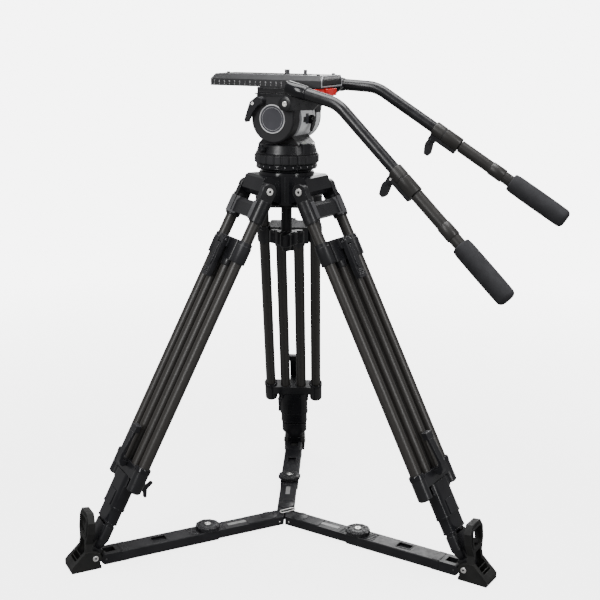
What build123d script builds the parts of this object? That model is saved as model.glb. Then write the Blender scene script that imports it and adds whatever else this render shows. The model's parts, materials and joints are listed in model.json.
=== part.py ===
"""A camera tripod with a fluid head, a ground spreader and two pan bars.

Millimetres, +Z up. The origin is on the axis of the 3/8 inch camera screw, which is also the axis of
the crown, at the face that the camera rests on. Heights are given from the floor, and save() lowers
each piece to the origin. The legs stand at 90, 210 and 330 degrees about Z, and the head's rear is at
HEAD_REAR.
"""

import os
from math import atan2, cos, hypot, radians, sin

from build123d import *

# Leg layout: the crown pins and the foot axles, as radius and height
LEGS = {"left": 210, "right": 330, "back": 90}
PIN_R, PIN_Z = 63.0, 709.5
AXLE_R, AXLE_Z = 419.0, 22.7
LEG_LENGTH = hypot(AXLE_R - PIN_R, PIN_Z - AXLE_Z)
LEG_ANGLE = atan2(AXLE_R - PIN_R, PIN_Z - AXLE_Z)

# Leg tubes: the fixed outer pair, the sliding middle pair and the lower pair inside them
OUTER_Y, MIDDLE_Y = 52.7, 18.5
TUBE = 11.0
TUBE_BORE = 9.4
LOWER_TUBE = 9.0
GLUE = 0.05
RUN = 0.3

# Distances down a leg from its crown pin
SOCKET_END = 62
SLIDER_TOP, SLIDER_END = 104, 146
BRIDGE_TOP, BRIDGE_END = 571, 621
CLAMP_TOP, CLAMP_STEP, CLAMP_END = 600, 670, 700
ANKLE_TOP, ANKLE_END = 706, 751
WING_Y = 31

# Crown, bowl and levelling ball
BOWL_Z = 740
BALL = 47.2
CROWN_OUT = 52.0
CROWN_BOTTOM = 680
CROWN_ARM = 41.0
CHEEK = 13.0
HINGE_PIN = 6.0

# Ground spreader, seen along an arm from the centre
ARM_Z, ARM_HALF_T, ARM_HALF_W = 13.5, 10.5, 19.5
ARM_HINGE_R = 396.0
END_R, BAR_TIP_R, SLEEVE_R, INNER_R = 366.0, 200.0, 160.0, 182.0
MITRE_GAP = 1.5
KNOB_R = 176.0

# Feet: the insides and outsides of the cheeks, and the reach of the toe past the axle
FOOT_IN, FOOT_OUT = 15.6, 24.5
TOE_X = 47.0

# Head, seen along its own front-to-rear axis
HEAD_REAR = -23.8
RING_R, RING_Z0, RING_Z1 = 61.0, 757, 773
BASE_FOOT_R, BASE_R, BASE_TOP = 58.5, 53.0, 793
TILT_Z = 841
CASING_R, CASING_IN, CASING_OUT = 44.0, 35.2, 60.0
CARRIER_Z0, CARRIER_Z1 = 887, 898
PLATE_Z0, PLATE_Z1 = 898, 920
PLATE_FRONT, PLATE_REAR, PLATE_HALF = -140, 92, 45
REST_Z = PLATE_Z1 - 1.5
SCREWS = ((0, 4.76), (38, 3.175))
ROSETTE_X, ROSETTE_Z = 32, 870

# Pan bars: pitch of the first run, then one bend down
BAR_PITCH = {"left": -13.5, "right": -3.0}
BAR_BEND = 29.0
BAR_SPLAY = 5.7
BAR_LIFT = 32.0
BAR_RUN1 = 111.0
BAR_RUN2 = {"left": 159.0, "right": 138.0}
BAR_TUBE, BAR_ROD, BAR_GRIP = 10.75, 8.6, 18.2
BAR_Y = 81.0

os.makedirs("parts", exist_ok=True)


def save(part, label):
    """Lower a finished sub-part from floor heights to the origin, label it and write its STEP file."""
    part = part.moved(Location((0, 0, -REST_Z)))
    part.label = label
    export_step(part, f"parts/{label}.step")


def radial(azimuth, radius=0.0, height=0.0):
    """A frame with +X outward at the azimuth, +Y tangential and +Z up."""
    out = Vector(cos(radians(azimuth)), sin(radians(azimuth)), 0)
    return Plane(origin=out * radius + Vector(0, 0, height), x_dir=out, z_dir=(0, 0, 1))


def leg_frame(azimuth):
    """A frame at the crown pin: +X away from the centre, +Y tangential, +Z up along the leg."""
    base = radial(azimuth, PIN_R, PIN_Z)
    up = base.z_dir * cos(LEG_ANGLE) - base.x_dir * sin(LEG_ANGLE)
    out = base.x_dir * cos(LEG_ANGLE) + base.z_dir * sin(LEG_ANGLE)
    return Plane(origin=base.origin, x_dir=out, z_dir=up)


def side(frame, across=0.0):
    """The frame's XZ plane moved along its Y: sketches draw X as x and Z as y."""
    return Plane(frame.from_local_coords(Vector(0, across, 0)), frame.x_dir, -frame.y_dir)


def face(frame, out=0.0):
    """The frame's YZ plane moved along its X: sketches draw Y as x and Z as y."""
    return Plane(frame.from_local_coords(Vector(out, 0, 0)), frame.y_dir, frame.x_dir)


def tube_pair(frame, spread, top, end, outer, inner):
    """Two parallel tubes down a leg, from top to end."""
    with BuildPart() as tubes:
        with BuildSketch(frame.offset(-top)):
            with Locations((0, -spread), (0, spread)):
                Circle(outer)
                Circle(inner, mode=Mode.SUBTRACT)
        extrude(amount=top - end)
    return tubes.part


# ---- crown and bowl clamp ----


def crown():
    """The casting that holds the bowl and carries the three leg hinges."""
    with BuildPart() as body:
        with BuildSketch(Plane.XY.offset(CROWN_BOTTOM)):
            Circle(CROWN_OUT)
        extrude(amount=BOWL_Z - CROWN_BOTTOM)
        for azimuth in LEGS.values():
            frame = radial(azimuth)
            with BuildSketch(side(frame)):
                with BuildLine():
                    Polyline((PIN_R, PIN_Z - 14), (30, CROWN_BOTTOM + 2), (0, CROWN_BOTTOM + 2))
                    Line((0, CROWN_BOTTOM + 2), (0, BOWL_Z - 5))
                    Polyline((0, BOWL_Z - 5), (PIN_R - 1, BOWL_Z - 5), (PIN_R + 5, BOWL_Z - 8), (PIN_R + 14, PIN_Z))
                    Line((PIN_R + 14, PIN_Z), (PIN_R + 9.9, PIN_Z - 9.9))
                    Line((PIN_R + 9.9, PIN_Z - 9.9), (PIN_R, PIN_Z - 14))
                make_face()
            extrude(amount=CROWN_ARM, both=True)
        with Locations((0, 0, BOWL_Z)):
            Sphere(BALL + RUN, mode=Mode.SUBTRACT)
        with BuildSketch(Plane.XY.offset(CROWN_BOTTOM)):
            Circle(22)
        extrude(amount=30, mode=Mode.SUBTRACT)
        for azimuth in LEGS.values():
            with BuildSketch(side(radial(azimuth))):
                with Locations((PIN_R, PIN_Z)):
                    Circle(HINGE_PIN + GLUE)
            extrude(amount=CROWN_ARM + 1, both=True, mode=Mode.SUBTRACT)
    return body.part


def bowl_clamp():
    """The lobed knob and sleeve under the crown, screwed on the ball's stud."""
    with BuildPart() as clamp:
        with BuildSketch(Plane.XY.offset(596)):
            Circle(22)
            with PolarLocations(27, 3, start_angle=30):
                Circle(11)
        extrude(amount=26)
        fillet(clamp.edges().group_by(Axis.Z)[-1], 4)
        fillet(clamp.edges().group_by(Axis.Z)[0], 4)
        with BuildSketch(Plane.XY.offset(583)):
            Circle(7)
        with BuildSketch(Plane.XY.offset(597)):
            Circle(12)
        loft()
        with BuildSketch(Plane.XY.offset(620)):
            Circle(10.5)
        extrude(amount=56)
        with BuildSketch(Plane.XY.offset(670)):
            Circle(17)
        extrude(amount=6)
        with BuildSketch(Plane.XY.offset(636)):
            Circle(5 + RUN / 3)
        extrude(amount=50, mode=Mode.SUBTRACT)
    return clamp.part


# ---- one leg ----


def yoke(leg):
    """The upper casting: two cheeks on the hinge pin, a web and a socket for each outer tube."""
    with BuildPart() as body:
        for hand in (-1, 1):
            with BuildSketch(side(leg, hand * (CROWN_ARM + 0.5 + CHEEK / 2))):
                Circle(15)
                with Locations((0, -28)):
                    Rectangle(27, 56)
            extrude(amount=CHEEK / 2, both=True)
        with BuildSketch(leg.offset(-20)):
            with Locations((0, -OUTER_Y), (0, OUTER_Y)):
                Circle(14.5)
        extrude(amount=20 - SOCKET_END)
        chamfer(body.edges().filter_by(GeomType.CIRCLE).group_by(Axis(leg.origin, leg.z_dir))[-1], 1)
        with BuildSketch(side(leg)):
            with BuildLine():
                Polyline((-6, -26), (7, -26), (10, -34), (10, -57), (-10, -57), (-10, -31), close=True)
            make_face()
        extrude(amount=CROWN_ARM + 2, both=True)
        with BuildSketch(leg.offset(-SOCKET_END)):
            with Locations((0, -OUTER_Y), (0, OUTER_Y)):
                Circle(TUBE + GLUE)
        extrude(amount=24, mode=Mode.SUBTRACT)
        with BuildSketch(side(leg)):
            Circle(HINGE_PIN)
        extrude(amount=CROWN_ARM + CHEEK + 2, both=True)
    return body.part


def tube_bridge(leg):
    """The lower casting of the outer tubes: two closed cups joined round the middle tubes."""
    with BuildPart() as body:
        with BuildSketch(leg.offset(-BRIDGE_TOP)):
            with Locations((0, -OUTER_Y), (0, OUTER_Y)):
                Circle(14.2)
        extrude(amount=BRIDGE_TOP - BRIDGE_END)
        chamfer(body.faces().sort_by(Axis(leg.origin, leg.z_dir))[:2].edges(), 3)
        with BuildSketch(leg.offset(-BRIDGE_TOP - 4)):
            Rectangle(26, 2 * OUTER_Y)
        extrude(amount=-24)
        with BuildSketch(face(leg, 12)):
            with Locations((0, -581)):
                Rectangle(13, 12)
        extrude(amount=14)
        with BuildSketch(leg.offset(-BRIDGE_TOP)):
            with Locations((0, -OUTER_Y), (0, OUTER_Y)):
                Circle(TUBE + GLUE)
        extrude(amount=-36, mode=Mode.SUBTRACT)
        with BuildSketch(leg.offset(-BRIDGE_TOP)):
            with Locations((0, -MIDDLE_Y), (0, MIDDLE_Y)):
                Circle(TUBE + RUN)
        extrude(amount=-40, mode=Mode.SUBTRACT)
        with BuildSketch(side(leg)):
            with Locations((20.5, -581)):
                Circle(2.55)
        extrude(amount=8, both=True, mode=Mode.SUBTRACT)
    return body.part


def slider_clamp(leg):
    """The casting at the top of the middle tubes, guided by the outer tubes."""
    with BuildPart() as body:
        with BuildSketch(leg.offset(-SLIDER_TOP)):
            RectangleRounded(25, 80, 5)
            with Locations((0, -OUTER_Y), (0, OUTER_Y)):
                Circle(TUBE + RUN, mode=Mode.SUBTRACT)
        extrude(amount=SLIDER_TOP - SLIDER_END)
        with BuildSketch(face(leg, 11)):
            with Locations((0, -SLIDER_TOP - 10)):
                Rectangle(13, 12)
        extrude(amount=15)
        with BuildSketch(leg.offset(-SLIDER_END)):
            with Locations((0, -MIDDLE_Y), (0, MIDDLE_Y)):
                Circle(TUBE + GLUE)
        extrude(amount=34, mode=Mode.SUBTRACT)
        with BuildSketch(side(leg)):
            with Locations((20.5, -SLIDER_TOP - 10)):
                Circle(2.55)
        extrude(amount=8, both=True, mode=Mode.SUBTRACT)
    return body.part


def lower_clamp(leg):
    """The casting at the end of the middle tubes, which the lower tubes slide through."""
    with BuildPart() as body:
        for top, end, radius in ((CLAMP_TOP, CLAMP_STEP, 14.2), (CLAMP_STEP, CLAMP_END, 12.3)):
            with BuildSketch(leg.offset(-top)):
                SlotCenterToCenter(2 * MIDDLE_Y, 2 * radius, rotation=90)
            extrude(amount=top - end)
        with BuildSketch(face(leg, -10)):
            with Locations((0, -CLAMP_TOP - 12)):
                RectangleRounded(70, 20, 4)
        extrude(amount=20)
        with BuildSketch(leg.offset(-CLAMP_TOP + 5)):
            with Locations((0, -MIDDLE_Y), (0, MIDDLE_Y)):
                Circle(TUBE + GLUE)
        extrude(amount=-60, mode=Mode.SUBTRACT)
        with BuildSketch(leg.offset(-CLAMP_TOP)):
            with Locations((0, -MIDDLE_Y), (0, MIDDLE_Y)):
                Circle(LOWER_TUBE + RUN)
        extrude(amount=-120, mode=Mode.SUBTRACT)
        with BuildSketch(leg.offset(-CLAMP_TOP + 5)):
            with Locations((0, -OUTER_Y), (0, OUTER_Y)):
                Circle(14.2 + 2 * RUN)
        extrude(amount=-(BRIDGE_END - CLAMP_TOP + 8), mode=Mode.SUBTRACT)
        with BuildSketch(face(leg, -5)):
            with Locations((WING_Y, -CLAMP_TOP - 12)):
                Circle(3.05)
        extrude(amount=-12, mode=Mode.SUBTRACT)
    return body.part


def lever(leg, pivot, length, hook):
    """A cam lever on a leg's outer side: a fork on a pin, a long blade and a hooked end."""
    with BuildPart() as body:
        with BuildSketch(side(leg)):
            with BuildLine():
                Polyline((16.5, -pivot - 4), (16.5, -pivot - length), (19, -pivot - length - hook))
                Polyline((19, -pivot - length - hook), (29, -pivot - length - hook))
                Polyline((29, -pivot - length - hook), (26, -pivot - length), (27, -pivot), (24, -pivot + 7))
                Polyline((24, -pivot + 7), (18, -pivot + 7), (16.5, -pivot - 4))
            make_face()
        extrude(amount=12, both=True)
        chamfer(body.edges().filter_by(Axis(leg.origin, leg.z_dir)).group_by(Axis(leg.origin, leg.x_dir))[-1], 1)
        with BuildSketch(side(leg)):
            with Locations((20, -pivot + 2)):
                Rectangle(30, 22)
        extrude(amount=6.5 + RUN, both=True, mode=Mode.SUBTRACT)
        with BuildSketch(side(leg)):
            with Locations((20.5, -pivot)):
                Circle(2.5)
        extrude(amount=11, both=True)
    return body.part


def wing_knob(leg):
    """The wing screw on the inner side of the lower clamp."""
    with BuildPart() as body:
        with BuildSketch(face(leg, -14.4)):
            with Locations((WING_Y, -CLAMP_TOP - 12)):
                Circle(6)
        extrude(amount=-12)
        with BuildSketch(face(leg, -14.4)):
            with Locations((WING_Y, -CLAMP_TOP - 12)):
                Circle(3)
        extrude(amount=8.2)
        with BuildSketch(face(leg, -25)):
            with Locations((WING_Y, -CLAMP_TOP - 12)):
                RectangleRounded(7, 30, 3)
        extrude(amount=-13)
    return body.part


def lower_leg(leg):
    """The lower tube pair with its ankle casting, which ends in an eye on the foot axle."""
    with BuildPart() as body:
        with BuildSketch(leg.offset(-420)):
            with Locations((0, -MIDDLE_Y), (0, MIDDLE_Y)):
                Circle(LOWER_TUBE)
        extrude(amount=420 - ANKLE_TOP - 10)
        with BuildSketch(leg.offset(-ANKLE_TOP)):
            SlotCenterToCenter(2 * MIDDLE_Y, 22, rotation=90)
        extrude(amount=-28)
        with BuildSketch(leg.offset(-ANKLE_TOP - 28)):
            SlotCenterToCenter(2 * MIDDLE_Y, 22, rotation=90)
        with BuildSketch(leg.offset(-ANKLE_END - 6)):
            SlotCenterToCenter(2 * FOOT_IN - 21, 20, rotation=90)
        loft()
        with BuildSketch(side(leg)):
            with Locations((0, -LEG_LENGTH)):
                Circle(11)
            with Locations((0, -LEG_LENGTH + 9)):
                Rectangle(20, 18)
        extrude(amount=FOOT_IN - 0.5, both=True)
        with BuildSketch(side(leg)):
            with Locations((0, -LEG_LENGTH)):
                Circle(6.06)
        extrude(amount=21, both=True, mode=Mode.SUBTRACT)
    return body.part


# ---- ground spreader ----


def foot(frame):
    """A rubber foot: an open wedge for a toe, two cheeks on the axle, a stirrup and a lug for the arm."""
    lean = radians(6)
    outward = frame.x_dir * cos(lean) + frame.z_dir * sin(lean)
    stirrup = Plane(frame.from_local_coords(Vector(6, 0, 24)), frame.y_dir, outward)
    middle = (FOOT_IN + FOOT_OUT) / 2
    with BuildPart() as body:
        with BuildSketch(frame):
            with Locations(((TOE_X - 11) / 2, 0)):
                Rectangle(TOE_X + 11, 2 * FOOT_OUT)
        extrude(amount=6)
        for hand in (-1, 1):
            with BuildSketch(side(frame, hand * middle)):
                with Locations((0, AXLE_Z)):
                    Circle(12)
                with BuildLine():
                    Polyline((-9, 0), (-9, AXLE_Z), (4, AXLE_Z + 14), (19, 38), (TOE_X, 11), (TOE_X, 0), (-9, 0))
                make_face()
            extrude(amount=FOOT_OUT - middle, both=True)
        with BuildSketch(side(frame)):
            with BuildLine():
                Polyline((TOE_X - 9, 0), (TOE_X - 9, 20.5), (TOE_X, 11), (TOE_X, 0), (TOE_X - 9, 0))
            make_face()
        extrude(amount=FOOT_OUT, both=True)
        with BuildSketch(stirrup):
            with BuildLine():
                Polyline((-24, -4), (-24, 8), (-19, 28), (-28, 52), (-28, 74), (-17, 90), (17, 90))
                Polyline((17, 90), (28, 74), (28, 52), (19, 28), (24, 8), (24, -4), (-24, -4))
            make_face()
            with Locations((0, 62)):
                RectangleRounded(36, 34, 8, mode=Mode.SUBTRACT)
            with BuildLine():
                Polyline((-FOOT_IN, -5), (-FOOT_IN, 8), (-10, 34), (10, 34), (FOOT_IN, 8), (FOOT_IN, -5), (-FOOT_IN, -5))
            make_face(mode=Mode.SUBTRACT)
        extrude(amount=14)
        with BuildSketch(side(frame)):
            with Locations((ARM_HINGE_R - AXLE_R, ARM_Z)):
                Circle(7.4)
            with Locations(((ARM_HINGE_R - AXLE_R - 6) / 2, 8.6)):
                Rectangle(AXLE_R - ARM_HINGE_R - 6, 5)
        extrude(amount=9, both=True)
        with BuildSketch(side(frame)):
            with Locations((0, AXLE_Z)):
                Circle(6)
        extrude(amount=FOOT_OUT + 1, both=True)
        with BuildSketch(side(frame)):
            with Locations((ARM_HINGE_R - AXLE_R, ARM_Z)):
                Circle(3.05)
        extrude(amount=10, both=True, mode=Mode.SUBTRACT)
    return body.part


def arm_end(arm):
    """The clevis at the foot, with the long bar that slides in the sleeve."""
    with BuildPart() as body:
        with BuildSketch(side(arm)):
            with Locations((ARM_HINGE_R, ARM_Z)):
                Circle(ARM_HALF_T)
            with Locations(((END_R + ARM_HINGE_R) / 2, ARM_Z)):
                Rectangle(ARM_HINGE_R - END_R, 2 * ARM_HALF_T)
        extrude(amount=ARM_HALF_W, both=True)
        with BuildSketch(side(arm)):
            with Locations((END_R + 8 + 20, ARM_Z)):
                Rectangle(40, 30)
        extrude(amount=9 + RUN, both=True, mode=Mode.SUBTRACT)
        with BuildSketch(face(arm, END_R + 2)):
            with Locations((0, ARM_Z)):
                Rectangle(28, 12)
        extrude(amount=BAR_TIP_R - END_R - 2)
        with BuildSketch(side(arm)):
            with Locations((ARM_HINGE_R, ARM_Z)):
                Circle(3)
        extrude(amount=ARM_HALF_W - 2, both=True)
    return body.part


def arm_outer(arm):
    """The hollow sleeve with a window on top and its lock knob."""
    with BuildPart() as body:
        with BuildSketch(face(arm, SLEEVE_R)):
            with Locations((0, ARM_Z)):
                Rectangle(2 * ARM_HALF_W, 2 * ARM_HALF_T)
        extrude(amount=END_R - SLEEVE_R - RUN)
        chamfer(body.edges().filter_by(Axis(arm.origin, arm.x_dir)), 1.2)
        with BuildSketch(face(arm, SLEEVE_R - 1)):
            with Locations((0, ARM_Z)):
                Rectangle(2 * (ARM_HALF_W - 1.6), 2 * (ARM_HALF_T - 1.5))
        extrude(amount=END_R - SLEEVE_R + 2, mode=Mode.SUBTRACT)
        with BuildSketch(arm.offset(ARM_Z)):
            with Locations((282, 0)):
                Rectangle(29, 18)
        extrude(amount=20, mode=Mode.SUBTRACT)
        with BuildSketch(arm.offset(ARM_Z + ARM_HALF_T)):
            with Locations((KNOB_R, 0)):
                Circle(22.5)
        extrude(amount=9)
    return body.part


def arm_inner(arm):
    """The slimmer hub end of an arm, mitred to meet the other two and hollow for the bar."""
    half_w, half_t = ARM_HALF_W - 1.9, ARM_HALF_T - 1.8
    shift = MITRE_GAP / sin(radians(60))
    with BuildPart() as body:
        with BuildSketch(arm.offset(ARM_Z - half_t)):
            with BuildLine():
                tip = half_w / 3**0.5 + shift
                Polyline((shift, 0), (tip, half_w), (INNER_R, half_w), (INNER_R, -half_w), (tip, -half_w), close=True)
            make_face()
        extrude(amount=2 * half_t)
        with BuildSketch(face(arm, 24)):
            with Locations((0, ARM_Z)):
                Rectangle(28 + 2 * RUN, 12 + 2 * RUN)
        extrude(amount=INNER_R, mode=Mode.SUBTRACT)
    return body.part


# ---- head base ----


def pan_base():
    """The half ball with its stud, the drag ring's seat and the pan spindle."""
    with BuildPart() as body:
        with BuildSketch(Plane.XZ):
            with BuildLine():
                low = BOWL_Z - 44
                Polyline((0, 640), (5, 640), (5, low), ((BALL**2 - 44**2) ** 0.5, low))
                mid = radians(-35)
                ThreePointArc(
                    ((BALL**2 - 44**2) ** 0.5, low),
                    (BALL * cos(mid), BOWL_Z + BALL * sin(mid)),
                    (BALL, BOWL_Z),
                )
                Polyline((BALL, BOWL_Z), (44, BOWL_Z), (44, BOWL_Z + 5.6), (56.8, BOWL_Z + 5.9))
                Polyline((56.8, BOWL_Z + 5.9), (58.3, BOWL_Z + 7.6), (58.3, RING_Z0 - 3), (57, RING_Z0 - 0.5))
                Polyline((57, RING_Z0 - 0.5), (45, RING_Z0 - 0.5), (45, RING_Z1 + 0.7), (15, RING_Z1 + 0.7))
                Polyline((15, RING_Z1 + 0.7), (15, 788), (0, 788), (0, 640))
            make_face()
        revolve(axis=Axis.Z)
    return body.part


def drag_ring():
    """The ribbed ring that sets the pan drag."""
    with BuildPart() as body:
        with BuildSketch(Plane.XY.offset(RING_Z0)):
            Circle(RING_R)
            Circle(45 + RUN, mode=Mode.SUBTRACT)
        extrude(amount=RING_Z1 - RING_Z0)
        chamfer(body.edges().group_by(Axis.Z)[-1].sort_by(SortBy.LENGTH)[-1], 2)
        chamfer(body.edges().group_by(Axis.Z)[0].sort_by(SortBy.LENGTH)[-1], 2)
    return body.part


def head_body(head):
    """The pan housing: a round base and the fixed middle block with the tilt trunnions."""
    with BuildPart() as body:
        with BuildSketch(Plane.XY.offset(RING_Z1 + 1.2)):
            Circle(BASE_FOOT_R)
        with BuildSketch(Plane.XY.offset(BASE_TOP)):
            Circle(BASE_R)
        loft()
        chamfer(body.edges().group_by(Axis.Z)[-1], 2)
        with BuildSketch(side(head)):
            with Locations((0, TILT_Z)):
                Circle(CASING_R - 2)
            with BuildLine():
                Polyline((-43, BASE_TOP - 6), (-43, BASE_TOP), (-29, BASE_TOP + 14), (-29, TILT_Z))
                Polyline((-29, TILT_Z), (29, TILT_Z), (29, BASE_TOP + 14), (43, BASE_TOP), (43, BASE_TOP - 6))
                Line((43, BASE_TOP - 6), (-43, BASE_TOP - 6))
            make_face()
        extrude(amount=CASING_IN - 0.6, both=True)
        with BuildSketch(side(head)):
            with Locations((0, TILT_Z)):
                Circle(12)
        extrude(amount=CASING_OUT - 10, both=True)
        with BuildSketch(Plane.XY.offset(RING_Z1)):
            Circle(15 + 0.1)
        extrude(amount=788.5 - RING_Z1, mode=Mode.SUBTRACT)
        with BuildSketch(face(radial(225), BASE_R - 8)):
            with Locations((0, 784)):
                Circle(3.05)
        extrude(amount=12, mode=Mode.SUBTRACT)
    return body.part


def side_casings(head):
    """The two shield-shaped side covers that swing on the trunnions."""
    with BuildPart() as body:
        for hand in (-1, 1):
            middle = hand * (CASING_IN + CASING_OUT) / 2
            with BuildSketch(side(head, middle)):
                with Locations((0, TILT_Z)):
                    Circle(CASING_R)
                with BuildLine():
                    Polyline((-43, TILT_Z), (-33, CARRIER_Z0), (46, CARRIER_Z0), (46, 862), (43, TILT_Z), (-43, TILT_Z))
                make_face()
            extrude(amount=(CASING_OUT - CASING_IN) / 2, both=True)
        outer = [f for f in body.faces() if abs(abs(head.to_local_coords(f.center()).Y) - CASING_OUT) < 0.1]
        chamfer([e for f in outer for e in f.edges()], 2.5)
        with BuildSketch(side(head)):
            with Locations((0, TILT_Z)):
                Circle(12.08)
        extrude(amount=CASING_OUT - 9, both=True, mode=Mode.SUBTRACT)
        for hand in (-1, 1):
            with BuildSketch(side(head, hand * (CASING_OUT + 0.2))):
                with Locations((ROSETTE_X, ROSETTE_Z)):
                    Circle(12)
            extrude(amount=1, both=True)
        with BuildSketch(side(head)):
            with Locations((ROSETTE_X, ROSETTE_Z)):
                Circle(4.08)
        extrude(amount=CASING_OUT + 2, both=True, mode=Mode.SUBTRACT)
        with BuildSketch(side(head)):
            with Locations((-22, 873)):
                Circle(4.08)
        extrude(amount=CASING_OUT + 2, mode=Mode.SUBTRACT)
    return body.part


# ---- plate and levers ----


def plate_carrier(head):
    """The bridge over the casings with the dovetail rail for the camera plate."""
    with BuildPart() as body:
        with BuildSketch(head.offset(CARRIER_Z0)):
            with Locations((15, 0)):
                RectangleRounded(104, 108, 6)
        extrude(amount=CARRIER_Z1 - CARRIER_Z0 - 0.4)
        with BuildSketch(head.offset(CARRIER_Z0)):
            with Locations((72, 22)):
                RectangleRounded(22, 18, 5)
        extrude(amount=2.5)
        with BuildSketch(face(head, -37)):
            with BuildLine():
                top = CARRIER_Z1 + 5
                Polyline((-18, CARRIER_Z1 - 1), (-21, top), (21, top), (18, CARRIER_Z1 - 1), close=True)
            make_face()
        extrude(amount=104)
        with BuildSketch(head.offset(CARRIER_Z0)):
            with Locations((76, 22)):
                Circle(3.05)
        extrude(amount=4, mode=Mode.SUBTRACT)
    return body.part


def camera_plate(head):
    """The long sliding plate with bevelled edges, a dovetail groove and a recess for its pad."""
    with BuildPart() as body:
        with BuildSketch(head.offset(PLATE_Z0)):
            with Locations(((PLATE_FRONT + PLATE_REAR) / 2, 0)):
                Rectangle(PLATE_REAR - PLATE_FRONT, 2 * PLATE_HALF)
        extrude(amount=PLATE_Z1 - PLATE_Z0)
        chamfer(body.faces().sort_by(Axis.Z)[-1].edges(), length=9, length2=7)
        with BuildSketch(face(head, PLATE_FRONT - 1)):
            with BuildLine():
                low, top = PLATE_Z0 - 1, PLATE_Z0 + 5 + RUN
                Polyline((-18.2 - RUN, low), (-21.4 - RUN, top), (21.4 + RUN, top), (18.2 + RUN, low), close=True)
            make_face()
        extrude(amount=PLATE_REAR - PLATE_FRONT + 2, mode=Mode.SUBTRACT)
        with BuildSketch(head.offset(REST_Z)):
            with Locations((-24, 0)):
                RectangleRounded(150, 52, 4)
        extrude(amount=3, mode=Mode.SUBTRACT)
        with BuildSketch(head.offset(REST_Z - 10)):
            for x, radius in SCREWS:
                with Locations((x, 0)):
                    Circle(radius + 1 + GLUE)
        extrude(amount=14, mode=Mode.SUBTRACT)
    return body.part


def camera_screws(head):
    """The 3/8 inch and 1/4 inch camera screws."""
    with BuildPart() as body:
        for x, radius in SCREWS:
            with BuildSketch(head.offset(REST_Z - 10)):
                with Locations((x, 0)):
                    Circle(radius + 1)
            extrude(amount=10)
            with BuildSketch(head.offset(REST_Z)):
                with Locations((x, 0)):
                    Circle(radius)
            extrude(amount=10)
    return body.part


def release_lever(head):
    """The plate release lever under the rear of the plate, on a vertical pin."""
    with BuildPart() as body:
        with BuildSketch(head.offset(CARRIER_Z0 + 3)):
            with BuildLine():
                Polyline((70, 20), (83, 22), (86, 6), (100, -26), (92, -31), (76, 0), (72, 12), close=True)
            make_face()
            with Locations((76, 22)):
                Circle(7.5)
        extrude(amount=7)
        with BuildSketch(head.offset(CARRIER_Z0)):
            with Locations((76, 22)):
                Circle(3)
        extrude(amount=4)
    return body.part


def tilt_brake(head):
    """The tilt brake on the near side: a shaft with a lever that points down and forward."""
    near = side(head, -CASING_OUT - 0.4)
    with BuildPart() as body:
        with BuildSketch(near):
            with Locations((-22, 873)):
                Circle(8)
        extrude(amount=9)
        with BuildSketch(side(head, -CASING_OUT - 6)):
            with BuildLine():
                Polyline((-29, 873), (-44, 846), (-39, 842), (-31, 846), (-15, 872), (-22, 880), close=True)
            make_face()
        extrude(amount=6)
        with BuildSketch(near):
            with Locations((-22, 873)):
                Circle(4)
        extrude(amount=-10)
    return body.part


def pan_brake():
    """The small pan brake lever on the round base."""
    spot = radial(225)
    with BuildPart() as body:
        with BuildSketch(face(spot, BASE_FOOT_R + 0.4)):
            with Locations((0, 784)):
                Circle(5.5)
            with Locations((-3, 787)):
                RectangleRounded(12, 16, 2)
        extrude(amount=9)
        with BuildSketch(face(spot, BASE_R - 6)):
            with Locations((0, 784)):
                Circle(3)
        extrude(amount=13)
    return body.part


# ---- pan bars ----


def bar_frames(head, name):
    """The rosette frame of a bar, pitched and splayed, and the frame after its bend."""
    hand = -1 if name == "left" else 1
    splay = radians(HEAD_REAR + hand * BAR_SPLAY)
    pitch = radians(BAR_PITCH[name])
    level = Vector(cos(splay), sin(splay), 0)
    along = level * cos(pitch) + Vector(0, 0, sin(pitch))
    up = Vector(0, 0, cos(pitch)) - level * sin(pitch)
    centre = head.from_local_coords(Vector(ROSETTE_X, hand * BAR_Y, ROSETTE_Z))
    first = Plane(centre, along, up)
    turn = radians(BAR_BEND)
    along2 = along * cos(turn) - up * sin(turn)
    up2 = up * cos(turn) + along * sin(turn)
    corner = first.from_local_coords(Vector(BAR_RUN1, 0, BAR_LIFT))
    second = Plane(corner, along2, up2)
    return hand, first, second


def pan_bar(head, name):
    """The bent tube with its rosette bracket and the split clamp at its end."""
    hand, first, second = bar_frames(head, name)
    start = first.from_local_coords(Vector(4, 0, BAR_LIFT))
    corner = second.origin
    end = second.from_local_coords(Vector(BAR_RUN2[name], 0, 0))
    with BuildPart() as body:
        with BuildLine():
            FilletPolyline(start, corner, end, radius=70)
        with BuildSketch(Plane(start, first.y_dir, first.x_dir)):
            Circle(BAR_TUBE)
        sweep()
        with BuildSketch(face(second, BAR_RUN2[name] - 1)):
            Circle(13)
            with Locations((0, -12)):
                Rectangle(13, 14)
        extrude(amount=56)
        with BuildSketch(side(head, hand * (CASING_OUT + 6.6))):
            with Locations((ROSETTE_X, ROSETTE_Z)):
                Circle(13)
            with BuildLine():
                rel = [head.to_local_coords(first.from_local_coords(Vector(x, 0, z)))
                       for x, z in ((-8, -9), (-8, BAR_LIFT + 8), (30, BAR_LIFT + 6), (52, BAR_LIFT - 4), (9, -9))]
                Polyline([(p.X, p.Z) for p in rel], close=True)
            make_face()
        extrude(amount=5, both=True)
        with BuildSketch(side(head, hand * (CASING_OUT + 6))):
            with Locations((ROSETTE_X, ROSETTE_Z)):
                Circle(4)
        extrude(amount=hand * 18)
        with BuildSketch(face(second, 30)):
            Circle(BAR_ROD + RUN / 2)
        extrude(amount=BAR_RUN2[name] + 40, mode=Mode.SUBTRACT)
    return body.part


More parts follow.
